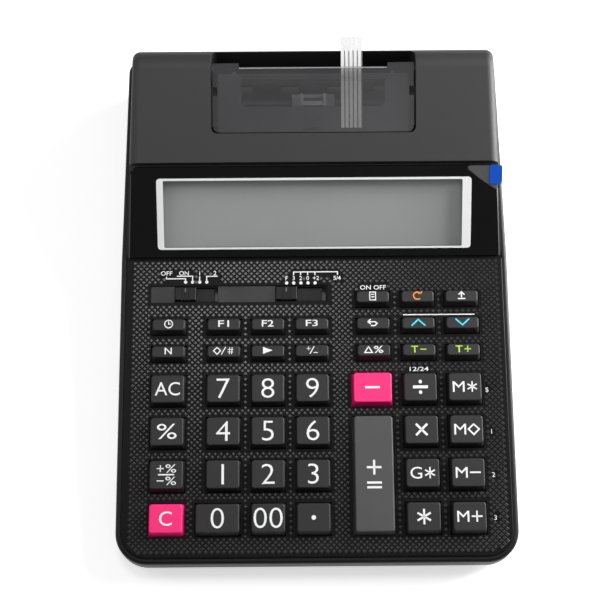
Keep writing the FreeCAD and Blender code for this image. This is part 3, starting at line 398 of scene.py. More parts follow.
def rounded_outline(corners: Sequence[tuple[float, float]], radii: Sequence[float]) -> np.ndarray:
    """Round the corners of a convex outline that runs anticlockwise.

    Each corner becomes an arc, tangent to its two sides, of the corner's own radius.

    Args:
        corners: The sharp corners.
        radii: One radius for each corner.

    Returns:
        Rows of two coordinates.
    """
    points = np.array(corners, float)
    before = np.roll(points, 1, 0) - points
    after = np.roll(points, -1, 0) - points
    before /= np.linalg.norm(before, axis=1, keepdims=True)
    after /= np.linalg.norm(after, axis=1, keepdims=True)
    half = np.arccos(np.clip((before * after).sum(1), -1, 1)) / 2
    radius = np.array(radii, float)
    middle = before + after
    middle /= np.linalg.norm(middle, axis=1, keepdims=True)
    centre = points + middle * (radius / np.sin(half))[:, None]
    start = points + before * (radius / np.tan(half))[:, None] - centre
    sweep = (math.pi - 2 * half)[:, None] * np.linspace(0, 1, ARC_STEPS)[None]
    cos, sin = np.cos(sweep)[..., None], np.sin(sweep)[..., None]
    side = np.stack([-start[:, 1], start[:, 0]], 1)
    return (centre[:, None] + cos * start[:, None] + sin * side[:, None]).reshape(-1, 2)


def box_outline(left: float, right: float, low: float, high: float, radius: float) -> np.ndarray:
    """Return a rectangle with rounded corners, anticlockwise."""
    return rounded_outline([(left, low), (right, low), (right, high), (left, high)], [radius] * 4)


def level(outline: np.ndarray, height: float) -> np.ndarray:
    """Return an outline's points at one height."""
    return np.column_stack([outline, np.full(len(outline), height)])


def drawn_in(outline: np.ndarray, bevel: float) -> np.ndarray:
    """Draw an outline in towards its middle, by the bevel where it is widest.

    Args:
        outline: Rows of two coordinates.
        bevel: How far its widest points move.

    Returns:
        The smaller outline.
    """
    middle = outline.mean(0)
    reach = np.abs(outline - middle).max(0)
    return middle + (outline - middle) * (1 - bevel / reach)


def slab(outline: np.ndarray, low: float, high: float, bevel: float = 0.0) -> Surface:
    """Raise a flat outline into a closed plate whose top edge is bevelled.

    The outline is carried up a short profile, drawn in towards its middle at the top, and capped.

    Args:
        outline: Rows of two coordinates, anticlockwise.
        low: Height of the foot.
        high: Height of the top.
        bevel: Width of the bevel.

    Returns:
        The closed surface.
    """
    count = len(outline)
    rings = ((outline, low), (outline, high - bevel), (drawn_in(outline, bevel), high))
    wall = grid(np.stack([level(ring, height) for ring, height in rings]), round_columns=True)
    caps = [np.arange(count)[::-1][None], (np.arange(count) + 2 * count)[None]]
    return Surface(wall.points, wall.faces + caps)


def border(outer: np.ndarray, inner: np.ndarray, low: float, high: float, bevel: float = 0.0) -> Surface:
    """Carry a frame's section round two matching outlines.

    Args:
        outer: Outside edge, anticlockwise.
        inner: Inside edge, with as many points.
        low: Height of the foot.
        high: Height of the top.
        bevel: Width of the bevel along the outside edge.

    Returns:
        The closed ring.
    """
    rings = ((outer, low), (outer, high - bevel), (drawn_in(outer, bevel), high), (inner, high), (inner, low))
    rows = np.stack([level(ring, height) for ring, height in rings])
    return grid(rows, round_rows=True, round_columns=True)


def bar(rows: np.ndarray) -> Surface:
    """Close a row of four-cornered sections into a bar with flat ends.

    Args:
        rows: Points of shape sections by four by three.

    Returns:
        The closed bar.
    """
    body = grid(rows, round_columns=True)
    ends = np.array([[3, 2, 1, 0], np.arange(4) + 4 * (len(rows) - 1)])
    return Surface(body.points, body.faces + [ends])


def stroke(path: Sequence[tuple[float, float]], width: float, low: float, high: float) -> Surface:
    """Carry a flat bar along a path with mitred corners and square ends.

    Args:
        path: Points of the middle line.
        width: Width of the bar.
        low: Height of the foot.
        high: Height of the top.

    Returns:
        The closed bar.
    """
    line = np.array(path, float)
    run = np.diff(line, axis=0)
    run /= np.linalg.norm(run, axis=1, keepdims=True)
    normal = np.stack([-run[:, 1], run[:, 0]], 1)
    first, last = np.vstack([normal[:1], normal]), np.vstack([normal, normal[-1:]])
    mitre = first + last
    mitre *= (2 / (mitre ** 2).sum(1))[:, None] * width / 2
    sides = [(line - mitre, low), (line + mitre, low), (line + mitre, high), (line - mitre, high)]
    return bar(np.stack([level(side, height) for side, height in sides], 1))


def turned(profile: np.ndarray, steps: int = 24) -> Surface:
    """Turn a profile of radius and height round its axis.

    Args:
        profile: Rows of radius and height, from the axis at one end to the axis at the other.
        steps: Points round the turn.

    Returns:
        The closed surface, its axis up.
    """
    angle = np.linspace(0, 2 * math.pi, steps, endpoint=False)
    radius, height = profile[1:-1, 0], profile[1:-1, 1]
    rows = np.stack([radius[:, None] * np.cos(angle), radius[:, None] * np.sin(angle),
                     np.repeat(height[:, None], steps, 1)], -1)
    wall = grid(rows, round_columns=True)
    count = len(wall.points)
    points = np.vstack([wall.points, [0, 0, profile[0, 1]], [0, 0, profile[-1, 1]]])
    ring, after = np.arange(steps), (np.arange(steps) + 1) % steps
    top = np.stack([ring + count - steps, after + count - steps, np.full(steps, count + 1)], 1)
    foot = np.stack([after, ring, np.full(steps, count)], 1)
    return Surface(points, wall.faces + [top, foot])


def disc(radius: float, low: float, high: float, steps: int = 20) -> Surface:
    """Turn a flat round dot whose edge is bevelled over half its height.

    Args:
        radius: Radius of the dot.
        low: Height of the foot.
        high: Height of the top.
        steps: Points round the dot.

    Returns:
        The closed dot.
    """
    edge = (high - low) / 2
    profile = [[0, low], [radius, low], [radius, high - edge], [radius - edge, high], [0, high]]
    return turned(np.array(profile), steps)


TYPE_STEPS = 4


def words(text: str, height: float, width: float | None, bold: float, depth: float,
          widen: float) -> Surface:
    """Set a line of text, made a mesh, and fit it to a box about its middle.

    Args:
        text: What it says.
        height: Height of its tallest sign.
        width: Width of the line, or nothing to keep the type's own shape.
        bold: How far the strokes are fattened, as a share of the type size.
        depth: Thickness of the print.
        widen: Widening of a line that keeps the type's own shape.

    Returns:
        The closed surface of the signs.
    """
    curve = bpy.data.curves.new("type", "FONT")
    curve.body = text
    curve.resolution_u = TYPE_STEPS
    curve.offset = bold
    # Both ways from the middle: a depth of one, scaled below
    curve.extrude = 0.5
    item = bpy.data.objects.new("type", curve)
    bpy.context.scene.collection.objects.link(item)
    bpy.context.view_layer.update()
    mesh = bpy.data.meshes.new_from_object(item.evaluated_get(bpy.context.evaluated_depsgraph_get()))
    points = np.empty(len(mesh.vertices) * 3)
    mesh.vertices.foreach_get("co", points)
    mesh.calc_loop_triangles()
    faces = np.empty(len(mesh.loop_triangles) * 3, np.int32)
    mesh.loop_triangles.foreach_get("vertices", faces)
    bpy.data.objects.remove(item)
    bpy.data.curves.remove(curve)
    bpy.data.meshes.remove(mesh)
    points = points.reshape(-1, 3)
    low, high = points.min(0), points.max(0)
    scale = height / (high[1] - low[1])
    stretch = width / (high[0] - low[0]) if width else scale * widen
    points = (points - (low + high) / 2) * np.array([stretch, scale, depth])
    points[:, 2] += depth / 2
    return Surface(points, [faces.reshape(-1, 3)])


def show(name: str, surface: Surface, finish: Finish, body: str,
         smooth: float = 0.0) -> bpy.types.Object:
    """Make a piece of a surface, dress it and let it ride on a body.

    Args:
        name: The piece's name.
        surface: Its shape, in metres.
        finish: Its material.
        body: The body that carries it.
        smooth: Angle in degrees up to which its faces are shaded smooth.

    Returns:
        The piece.
    """
    mesh = surface.mesh(name)
    mesh.materials.append(finish.material())
    if smooth:
        mesh.shade_smooth()
        mesh.set_sharp_from_angle(angle=math.radians(smooth))
    else:
        mesh.shade_flat()
    piece = bpy.data.objects.new(name, mesh)
    bpy.context.scene.collection.objects.link(piece)
    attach(piece, body)
    LOG.info("%s: %d points", name, len(mesh.vertices))
    return piece


def paint(nodes: dict[str, bpy.types.Object], finishes: dict[str, Finish]) -> None:
    """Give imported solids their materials.

    Args:
        nodes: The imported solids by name.
        finishes: The material of each solid that is dressed.
    """
    for name, finish in finishes.items():
        materials = nodes[name].data.materials
        materials.clear()
        materials.append(finish.material())


class Ink(Enum):
    """Colours of the printed signs."""

    WHITE = WHITE_PRINT
    ORANGE = ORANGE_PRINT
    GREEN = GREEN_PRINT
    CYAN = CYAN_PRINT


# Depth of the print, and how far strokes of plain, small and figure signs are fattened
PRINT_DEPTH = 0.03
BOLD, SMALL_BOLD, DIGIT_BOLD = 0.0, 0.008, -0.01
# Common heights of the signs, and how far figures are widened
DIGIT_HEIGHT, SMALL_HEIGHT, MEMORY_HEIGHT, DIGIT_STRETCH = 8.2, 2.8, 4.4, 1.07
# Angles in degrees up to which bevelled plates, steel pieces and dots are shaded smooth
PLATE_SMOOTH, STEEL_SMOOTH, DOT_SMOOTH = 30.0, 35.0, 40.0


@dataclass(frozen=True)
class Sign:
    """One printed sign of a key or of the plate.

    Args:
        text: Letters or figures, or the name of a drawn sign.
        height: Height in millimetres.
        width: Width in millimetres, or nothing to keep the type's own shape.
        across: Place across, from the middle of its key or of the plate.
        along: Place along the slope, from the middle of its key or the front of the plate.
        bold: How far the strokes are fattened.
        stretch: Widening of a sign that keeps the type's own shape.
    """

    text: str
    height: float
    width: float | None = None
    across: float = 0.0
    along: float = 0.0
    bold: float = BOLD
    stretch: float = 1.0

    def surface(self) -> Surface:
        """Draw the sign's strokes, or set it in type, and lay it flat about its own place.

        Returns:
            The print.
        """
        drawn = DRAWN_SIGNS.get(self.text)
        if drawn:
            size = self.height
            flat = joined([stroke([(x * size, y * size) for x, y in path], weight * size, 0.0, PRINT_DEPTH)
                           for path, weight in drawn])
        else:
            flat = words(self.text, self.height, self.width, self.bold, PRINT_DEPTH, self.stretch)
        return flat.moved(self.across, self.along)


def star(arms: int, reach: float, weight: float) -> list[tuple[list[tuple[float, float]], float]]:
    """Return the strokes of a star: straight bars through its middle at even angles.

    Args:
        arms: Number of bars.
        reach: Half the length of a bar.
        weight: Width of a bar.

    Returns:
        Pairs of a path and its width.
    """
    angles = [math.pi / 2 + math.pi * i / arms for i in range(arms)]
    tips = [(reach * math.cos(a), reach * math.sin(a)) for a in angles]
    return [([(x, y), (-x, -y)], weight) for x, y in tips]


# Signs drawn as strokes, in units of their own height
DRAWN_SIGNS = {
    "minus": [([(-0.5, 0), (0.5, 0)], 0.15)],
    "plus": [([(-0.5, 0), (0.5, 0)], 0.15), ([(0, -0.5), (0, 0.5)], 0.15)],
    "equals": [([(-0.5, 0.16), (0.5, 0.16)], 0.15), ([(-0.5, -0.16), (0.5, -0.16)], 0.15)],
    "times": [([(-0.5, -0.5), (0.5, 0.5)], 0.2), ([(-0.5, 0.5), (0.5, -0.5)], 0.2)],
    "star": star(3, 0.5, 0.13),
    "diamond": [([(0.03, 0.5), (-0.5, 0), (0, -0.5), (0.5, 0), (-0.03, 0.5)], 0.15)],
    "up": [([(-1.0, -0.5), (0, 0.42), (1.0, -0.5)], 0.22)],
    "down": [([(-1.0, 0.5), (0, -0.42), (1.0, 0.5)], 0.22)],
    "delta": [([(0.04, 0.46), (-0.52, -0.42), (0.52, -0.42), (-0.04, 0.46)], 0.15)],
    "slash": [([(-0.28, -0.5), (0.28, 0.5)], 0.12)],
    "hash": [([(-0.1, -0.5), (-0.02, 0.5)], 0.1), ([(0.22, -0.5), (0.3, 0.5)], 0.1),
             ([(-0.3, 0.16), (0.46, 0.16)], 0.1), ([(-0.34, -0.18), (0.42, -0.18)], 0.1)],
    "rule": [([(-6.0, 0), (6.0, 0)], 1.0)],
    "again": [([(0.55 * math.cos(a), 0.5 * math.sin(a)) for a in np.linspace(0.6, 5.4, 14)], 0.16),
              ([(0.1, 0.3), (0.46, 0.3), (0.62, 0.62)], 0.16)],
    "page": [([(-0.36, -0.5), (0.36, -0.5), (0.36, 0.5), (-0.36, 0.5), (-0.36, -0.5)], 0.12),
             ([(-0.2, 0.2), (0.2, 0.2)], 0.12), ([(-0.2, -0.12), (0.2, -0.12)], 0.12)],
    "clock": [([(0.5 * math.cos(a), 0.5 * math.sin(a)) for a in np.linspace(0, 2 * math.pi, 21)], 0.13),
              ([(0, 0.34), (0, 0), (0.24, 0)], 0.13)],
    "sheet_up": [([(-0.5, -0.45), (0.5, -0.45)], 0.16), ([(0, -0.3), (0, 0.5)], 0.16),
                 ([(-0.4, 0.1), (0, 0.5), (0.4, 0.1)], 0.16)],
    "undo": [([(-0.6, 0.1), (0.2, 0.1), (0.5, -0.1), (0.2, -0.4), (-0.3, -0.4)], 0.15),
             ([(-0.3, 0.45), (-0.66, 0.1), (-0.3, -0.2)], 0.15)],
}


class Row(Enum):
    """Rows of keys, each named for one of its keys, by their middle along the plate's slope."""

    FEED = 107.8
    COST = 96.3
    TAX = 84.8
    SEVEN = 68.91
    FOUR = 51.19
    ONE = 33.47
    ZERO = 15.75


class Column(Enum):
    """Columns of keys by their middle across."""

    LEFT = -61.5
    ZERO = -40.5
    ONE = -38.4
    TWO = -19.9
    THREE = -1.4
    SUM = 23.5
    SUM_SMALL = 24.4
    SIGN = 43.35
    MEMORY = 61.9


SMALL_ROWS = (Row.FEED, Row.COST, Row.TAX)
MAIN_RISE, SMALL_RISE = 4.2, 3.2
MAIN_FACE, SMALL_FACE = (13.4, 11.5), (13.4, 4.7)
KEY_FACE_GAP = 0.01
# How far a cap spreads from its face to its foot: in front, at the sides and at the back
SMALL_SLOPE, MAIN_SLOPE, SIDE_SLOPE, BACK_SLOPE = 1.6, 1.2, 0.5, 0.3


@dataclass(frozen=True)
class Key:
    """One key: its node, its place on the plate, its signs and their colour.

    Args:
        node: The key's node and body.
        column: Its column.
        row: Its row.
        signs: What is printed on its face.
        ink: Colour of the print.
        finish: Plastic of the cap.
        slot: The record's material slot of the cap; not used.
        face: Width and length of its face, where it isn't a plain key of its row.
    """

    node: str
    column: Column
    row: Row
    signs: tuple[Sign, ...]
    ink: Ink = Ink.WHITE
    finish: Finish = KEY_ABS
    slot: str = "key_grey"
    face: tuple[float, float] | None = None

    def is_small(self) -> bool:
        """Return whether the key stands in one of the rows of small keys."""
        return self.row in SMALL_ROWS

    def hole(self) -> tuple[float, float, float, float]:
        """Work out the key's hole in the plate from its face and the slopes round it.

        Returns:
            Left, low, right and high edge.
        """
        width, length = self.face or (SMALL_FACE if self.is_small() else MAIN_FACE)
        across, along = self.column.value, self.row.value
        front = SMALL_SLOPE if self.is_small() else MAIN_SLOPE
        return (across - width / 2 - SIDE_SLOPE, along - length / 2 - front,
                across + width / 2 + SIDE_SLOPE, along + length / 2 + BACK_SLOPE)

    def dress(self, nodes: dict[str, bpy.types.Object]) -> None:
        """Give the cap its plastic and print its signs on its face.

        Args:
            nodes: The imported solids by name.
        """
        paint(nodes, {self.node: self.finish})
        rise = (SMALL_RISE if self.is_small() else MAIN_RISE) + KEY_FACE_GAP
        signs = joined([sign.surface() for sign in self.signs])
        placed = signs.moved(self.column.value, self.row.value, rise).on(KEYPAD)
        show(f"sign_{self.node}", placed, self.ink.value, self.node)


def digit(text: str) -> tuple[Sign, ...]:
    """Return the sign of a figure key."""
    return (Sign(text, DIGIT_HEIGHT, bold=DIGIT_BOLD, stretch=DIGIT_STRETCH),)


def small(text: str, width: float) -> tuple[Sign, ...]:
    """Return the sign of a small key."""
    return (Sign(text, SMALL_HEIGHT, width, along=0.25, bold=SMALL_BOLD),)


def memory(sign: str) -> tuple[Sign, ...]:
    """Return a memory key's letter and the sign beside it."""
    return Sign("M", MEMORY_HEIGHT, 4.9, across=-2.7), Sign(sign, MEMORY_HEIGHT, across=2.9)


def tax(sign: str, height: float) -> tuple[Sign, ...]:
    """Return a tax key's letter and the sign beside it."""
    letter = Sign("T", 2.9, 2.9, across=-1.8, along=0.2, bold=SMALL_BOLD)
    return letter, Sign(sign, height, across=1.8, along=0.2)


def per_cent(sign: str, along: float) -> tuple[Sign, ...]:
    """Return a plus or minus and the per cent sign beside it."""
    return Sign(sign, 2.8, across=-2.4, along=along), Sign("%", 3.4, 4.4, across=1.9, along=along)


KEYS = [
    Key("key_print", Column.SUM_SMALL, Row.FEED, (Sign("page", 3.4, along=0.2),)),
    Key("key_reprint", Column.SIGN, Row.FEED, (Sign("again", 3.1, along=0.2),), Ink.ORANGE),
    Key("key_paper_feed", Column.MEMORY, Row.FEED, (Sign("sheet_up", 3.1, along=0.2),)),
    Key("key_time", Column.LEFT, Row.COST, (Sign("clock", 3.3, along=0.25),)),
    Key("key_cost", Column.ONE, Row.COST, small("F1", 4.6)),
    Key("key_sell", Column.TWO, Row.COST, small("F2", 5.0)),
    Key("key_margin", Column.THREE, Row.COST, small("F3", 5.0)),
    Key("key_correct", Column.SUM_SMALL, Row.COST, (Sign("undo", 3.3, along=0.25),)),
    Key("key_step_up", Column.SIGN, Row.COST, (Sign("up", 2.9, along=0.2),), Ink.CYAN),
    Key("key_step_down", Column.MEMORY, Row.COST, (Sign("down", 2.9, along=0.2),), Ink.CYAN),
    Key("key_items", Column.LEFT, Row.TAX, small("N", 3.0)),
    Key("key_subtotal", Column.ONE, Row.TAX, (
        Sign("diamond", 3.0, across=-2.7, along=0.2), Sign("slash", 3.2, along=0.2),
        Sign("hash", 3.0, across=2.7, along=0.2))),
    Key("key_backspace", Column.TWO, Row.TAX, (Sign("▶", 2.9, 4.0, along=0.2),)),
    Key("key_change_sign", Column.THREE, Row.TAX, (
        Sign("plus", 1.7, across=-1.4, along=0.9), Sign("slash", 3.2, along=0.2),
        Sign("minus", 1.9, across=1.5, along=-0.9))),
    Key("key_delta", Column.SUM_SMALL, Row.TAX, (
        Sign("delta", 3.1, across=-2.2, along=0.25),
        Sign("%", 3.0, 3.9, across=2.0, along=0.25, bold=SMALL_BOLD))),
    Key("key_tax_minus", Column.SIGN, Row.TAX, tax("minus", 2.5), Ink.GREEN),
    Key("key_tax_plus", Column.MEMORY, Row.TAX, tax("plus", 2.7), Ink.GREEN),
    Key("key_clear_all", Column.LEFT, Row.SEVEN, (Sign("AC", 5.6, 10.4),)),
    Key("key_seven", Column.ONE, Row.SEVEN, digit("7")),
    Key("key_eight", Column.TWO, Row.SEVEN, digit("8")),
    Key("key_nine", Column.THREE, Row.SEVEN, digit("9")),
    Key("key_minus", Column.SUM, Row.SEVEN, (Sign("minus", 6.1),), finish=PINK_ABS, slot="key_pink",
        face=(15.7, 12.2)),
    Key("key_divide", Column.SIGN, Row.SEVEN, (Sign("÷", 6.0, 6.2),)),
    Key("key_memory_total", Column.MEMORY, Row.SEVEN, memory("star")),
    Key("key_percent", Column.LEFT, Row.FOUR, (Sign("%", 6.3, 8.2),)),
    Key("key_four", Column.ONE, Row.FOUR, digit("4")),
    Key("key_five", Column.TWO, Row.FOUR, digit("5")),
    Key("key_six", Column.THREE, Row.FOUR, digit("6")),
    Key("key_plus_equals", Column.SUM, Row.ONE, (
        Sign("plus", 6.0, along=2.4), Sign("equals", 6.0, along=-4.8)),
        finish=LIGHT_KEY_ABS, slot="key_light", face=(15.7, 46.94)),
    Key("key_multiply", Column.SIGN, Row.FOUR, (Sign("times", 4.7),)),
    Key("key_memory_subtotal", Column.MEMORY, Row.FOUR, memory("diamond")),
    Key("key_mark_up", Column.LEFT, Row.ONE, (
        *per_cent("plus", 2.5), Sign("rule", 0.55), *per_cent("minus", -2.5))),
    Key("key_one", Column.ONE, Row.ONE, digit("1")),
    Key("key_two", Column.TWO, Row.ONE, digit("2")),
    Key("key_three", Column.THREE, Row.ONE, digit("3")),
    Key("key_grand_total", Column.SIGN, Row.ONE, (
        Sign("G", 4.8, 4.8, across=-2.7), Sign("star", 4.6, across=2.9))),
    Key("key_memory_minus", Column.MEMORY, Row.ONE, memory("minus")),
    Key("key_clear", Column.LEFT, Row.ZERO, (Sign("C", 5.8, 5.2),), finish=PINK_ABS, slot="key_pink"),
    Key("key_zero", Column.ZERO, Row.ZERO, digit("0"), face=(17.5, 11.5)),
    Key("key_double_zero", Column.TWO, Row.ZERO, digit("00")),
    Key("key_point", Column.THREE, Row.ZERO, (Sign("•", 1.9),)),
    Key("key_total", Column.SIGN, Row.ZERO, (Sign("star", 6.2),)),
    Key("key_memory_plus", Column.MEMORY, Row.ZERO, memory("plus")),
]

# Left, low, right and high edge of the switch tray, and the floors beside the knobs' slots
TRAY = (-69.7, 106.5, 5.6, 113.8)
TRAY_FLOORS = ((-69.5, -59.6), (-41.0, -16.8))
FLOOR_GAP, FLOOR_CORNER, FLOOR_LOW, FLOOR_HIGH = 0.1, 0.3, -0.82, -0.76
KNOBS = {"mode_switch_knob": -54.8, "decimal_switch_knob": -12.0}
# Where a knob's pointer starts and ends, in front of the knob's rear edge, and its width
POINTER_START, POINTER_END, POINTER_WIDTH = 3.6, 1.9, 0.5
# The switches' dots: place of the first, its place along the slope, pitch and number
SWITCH_DOTS = ((-54.9, 115.4, 3.02, 4), (-11.9, 114.7, 3.03, 5))
DOT_RADIUS, GUIDE_WIDTH = 0.7, 0.45
# Paths of the lines that lead from the dots to their signs, and of the rule over the small keys
GUIDES = (
    [(-63.0, 117.8), (-63.0, 116.9), (-54.9, 116.9), (-54.9, 115.4)],
    [(-58.6, 118.0), (-51.9, 118.0), (-51.9, 115.4)],
    [(-48.9, 117.9), (-48.9, 115.4)],
    [(-45.9, 115.4), (-45.9, 117.9), (-41.2, 117.9)],
    [(-8.9, 118.1), (-8.9, 119.5), (9.8, 119.5), (9.8, 118.1)],
    *([(across, 118.1), (across, 119.5)] for across in (-5.9, -2.9, 0.2)),
    [(37.3, 100.5), (67.5, 100.5)],
)
# Text, height, width, place across and place along the slope of the small signs of the plate
PLATE_SIGNS = (
    ("OFF", 1.9, 4.9, -63.0, 119.3), ("ON", 1.9, 4.1, -55.6, 119.3), ("1", 1.9, None, -48.9, 119.3),
    ("2", 1.9, None, -42.4, 119.3), ("F", 1.8, None, -11.9, 116.8), ("3", 1.8, None, -8.9, 116.8),
    ("2", 1.8, None, -5.9, 116.8), ("0", 1.8, None, -2.9, 116.8), ("+2", 1.8, None, 0.6, 116.8),
    ("5/4", 1.8, None, 9.6, 116.8), ("ON OFF", 1.9, 11.0, 24.8, 112.5), ("12/24", 1.8, 7.9, 43.4, 77.2),
    ("$", 2.2, None, 71.5, 68.1), ("1", 1.9, None, 72.7, 50.7), ("2", 1.9, None, 72.8, 32.9),
    ("3", 1.9, None, 72.9, 15.4),
)
# The money sign, which breaks up where its strokes are fattened
UNFATTENED = "$"
# A diamond of one by one, anticlockwise
DIAMOND = np.array([(-0.5, 0), (0, -0.5), (0.5, 0), (0, 0.5)])


@dataclass
class Keypad:
    """The textured plate, its raised diamonds, its printed signs and its switches.

    Args:
        half: Half the plate's width.
        length: Length of the plate along its slope.
        corner: Radius of the plate's front corners.
        margin: Smooth border round the texture.
        inset: Distance of the first diamond's middle from that border.
        pitch_across: Distance between diamonds of a row.
        pitch_along: Distance between rows.
        bump_width: Width of a diamond.
        bump_length: Length of a diamond.
        bump_rise: Height of a diamond.
        bump_sink: How deep its foot lies in the plate.
        shoulder: Size of its half-way corners, as a share of the foot's.
        shoulder_rise: Their height, as a share of the peak's.
        facet_turn: Angle in degrees up to which a diamond's faces are shaded smooth.
        key_clear: Distance of a diamond's middle from keys and the switch tray.
        print_clear: The same from the print.
        printed: Areas taken by the print: left, low, right and high edge.
    """

    half: float = 80.2
    length: float = 125.4
    corner: float = 11.0
    margin: float = 1.5
    inset: float = 1.0
    pitch_across: float = 2.48
    pitch_along: float = 1.2
    bump_width: float = 2.3
    bump_length: float = 2.1
    bump_rise: float = 0.3
    bump_sink: float = 0.02
    shoulder: float = 0.62
    shoulder_rise: float = 0.86
    facet_turn: float = 16.0
    key_clear: float = 1.2
    print_clear: float = 0.75
    printed: list[tuple[float, float, float, float]] = field(default_factory=list)

    def build(self, nodes: dict[str, bpy.types.Object]) -> None:
        """Dress the plate, the keys and the switches.

        Args:
            nodes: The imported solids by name.
        """
        # The plate gets the darker copy of the bumps' plastic: painted shade
        paint(nodes, {"keypad_panel": PLATE_ABS, "key_membrane": MEMBRANE} | dict.fromkeys(KNOBS, KNOB_ABS))
        for knob, across in KNOBS.items():
            self.mark_knob(knob, across)
        for key in KEYS:
            key.dress(nodes)
        low, high = TRAY[1] + FLOOR_GAP, TRAY[3] - FLOOR_GAP
        floors = [slab(box_outline(left, right, low, high, FLOOR_CORNER), FLOOR_LOW, FLOOR_HIGH)
                  for left, right in TRAY_FLOORS]
        show("tray_floor", joined(floors).on(KEYPAD), TRAY_ABS, "case")
        self.print_plate()
        self.raise_diamonds()

    @staticmethod
    def mark_knob(knob: str, across: float) -> None:
        """Print a short pointer on a switch knob, in front of its rear edge.

        Args:
            knob: The knob's node and body.
            across: Place of the knob.
        """
        _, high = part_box(knob)
        turn = math.radians(PLATE_TILT)
        back, up = high.y / MM - KEYPAD.y, high.z / MM - KEYPAD.z
        along = back * math.cos(turn) + up * math.sin(turn)
        rise = up * math.cos(turn) - back * math.sin(turn)
        path = [(across, along - POINTER_START), (across, along - POINTER_END)]
        pointer = stroke(path, POINTER_WIDTH, 0.0, PRINT_DEPTH).moved(0, 0, rise + KEY_FACE_GAP)
        show(f"pointer_{knob}", pointer.on(KEYPAD), GREY_PRINT, knob)

    def print_plate(self) -> None:
        """Print the dots, the guide lines and the signs that stand on the plate itself."""
        prints = [disc(DOT_RADIUS, 0.0, PRINT_DEPTH).moved(first + pitch * i, along)
                  for first, along, pitch, count in SWITCH_DOTS for i in range(count)]
        prints += [stroke(path, GUIDE_WIDTH, 0.0, PRINT_DEPTH) for path in GUIDES]
        prints += [Sign(*row, BOLD if row[0] == UNFATTENED else SMALL_BOLD).surface() for row in PLATE_SIGNS]
        self.printed += [(*s.points[:, :2].min(0), *s.points[:, :2].max(0)) for s in prints]
        show("plate_print", joined(prints).moved(0, 0, KEY_FACE_GAP).on(KEYPAD), WHITE_PRINT, "case")

    def raise_diamonds(self) -> None:
        """Raise staggered diamonds between the keys.

        Each is a low dome on a diamond: four corners at its foot, four half-way corners at most of its
        height, and a peak. Those that would touch a key, the switch tray or the print are left out.
        """
        edge = self.half - self.margin
        across = np.arange(-self.half + self.margin + self.inset, edge, self.pitch_across)
        along = np.arange(self.margin + self.inset, self.length - self.margin, self.pitch_along)
        x, y = np.meshgrid(across, along)
        x = x + (np.arange(len(along)) % 2)[:, None] * self.pitch_across / 2
        x, y = x.ravel(), y.ravel()
        keep = np.abs(x) < edge - self.bump_width / 2
        past_side = np.clip(np.abs(x) - (self.half - self.corner), 0, None)
        past_front = np.clip(self.corner - y, 0, None)
        keep &= np.hypot(past_side, past_front) < self.corner - self.margin
        taken = [(area, self.key_clear) for area in [TRAY] + [key.hole() for key in KEYS]]
        taken += [(area, self.print_clear) for area in self.printed]
        for (left, low, right, high), clear in taken:
            keep &= ~((x > left - clear) & (x < right + clear) & (y > low - clear) & (y < high + clear))
        x, y = x[keep], y[keep]
        foot = DIAMOND * (self.bump_width, self.bump_length)
        shoulder = level(foot * self.shoulder, self.shoulder_rise * self.bump_rise)
        wall = grid(np.stack([level(foot, -self.bump_sink), shoulder]), round_columns=True)
        ring = np.arange(4) + len(foot)
        tops = np.stack([ring, np.roll(ring, -1), np.full(4, len(wall.points))], 1)
        bump = Surface(np.vstack([wall.points, [0, 0, self.bump_rise]]), wall.faces + [tops])
        bumps = repeated(bump, np.column_stack([x, y, np.zeros(len(x))]))
        show("keypad_diamonds", bumps.on(KEYPAD), BUMP_ABS, "case", self.facet_turn)


# Outline of the film's lifted corner, anticlockwise
FILM_OUTLINE = np.array([
    (65.2, 37.4), (66.8, 36.2), (68.4, 34.9), (70.6, 33.1), (73.8, 31.0), (75.9, 29.6), (77.3, 28.7),
    (77.9, 29.4), (77.6, 33.0), (77.2, 36.4), (75.9, 38.4), (74.0, 39.0), (66.0, 39.0), (65.1, 38.4)])


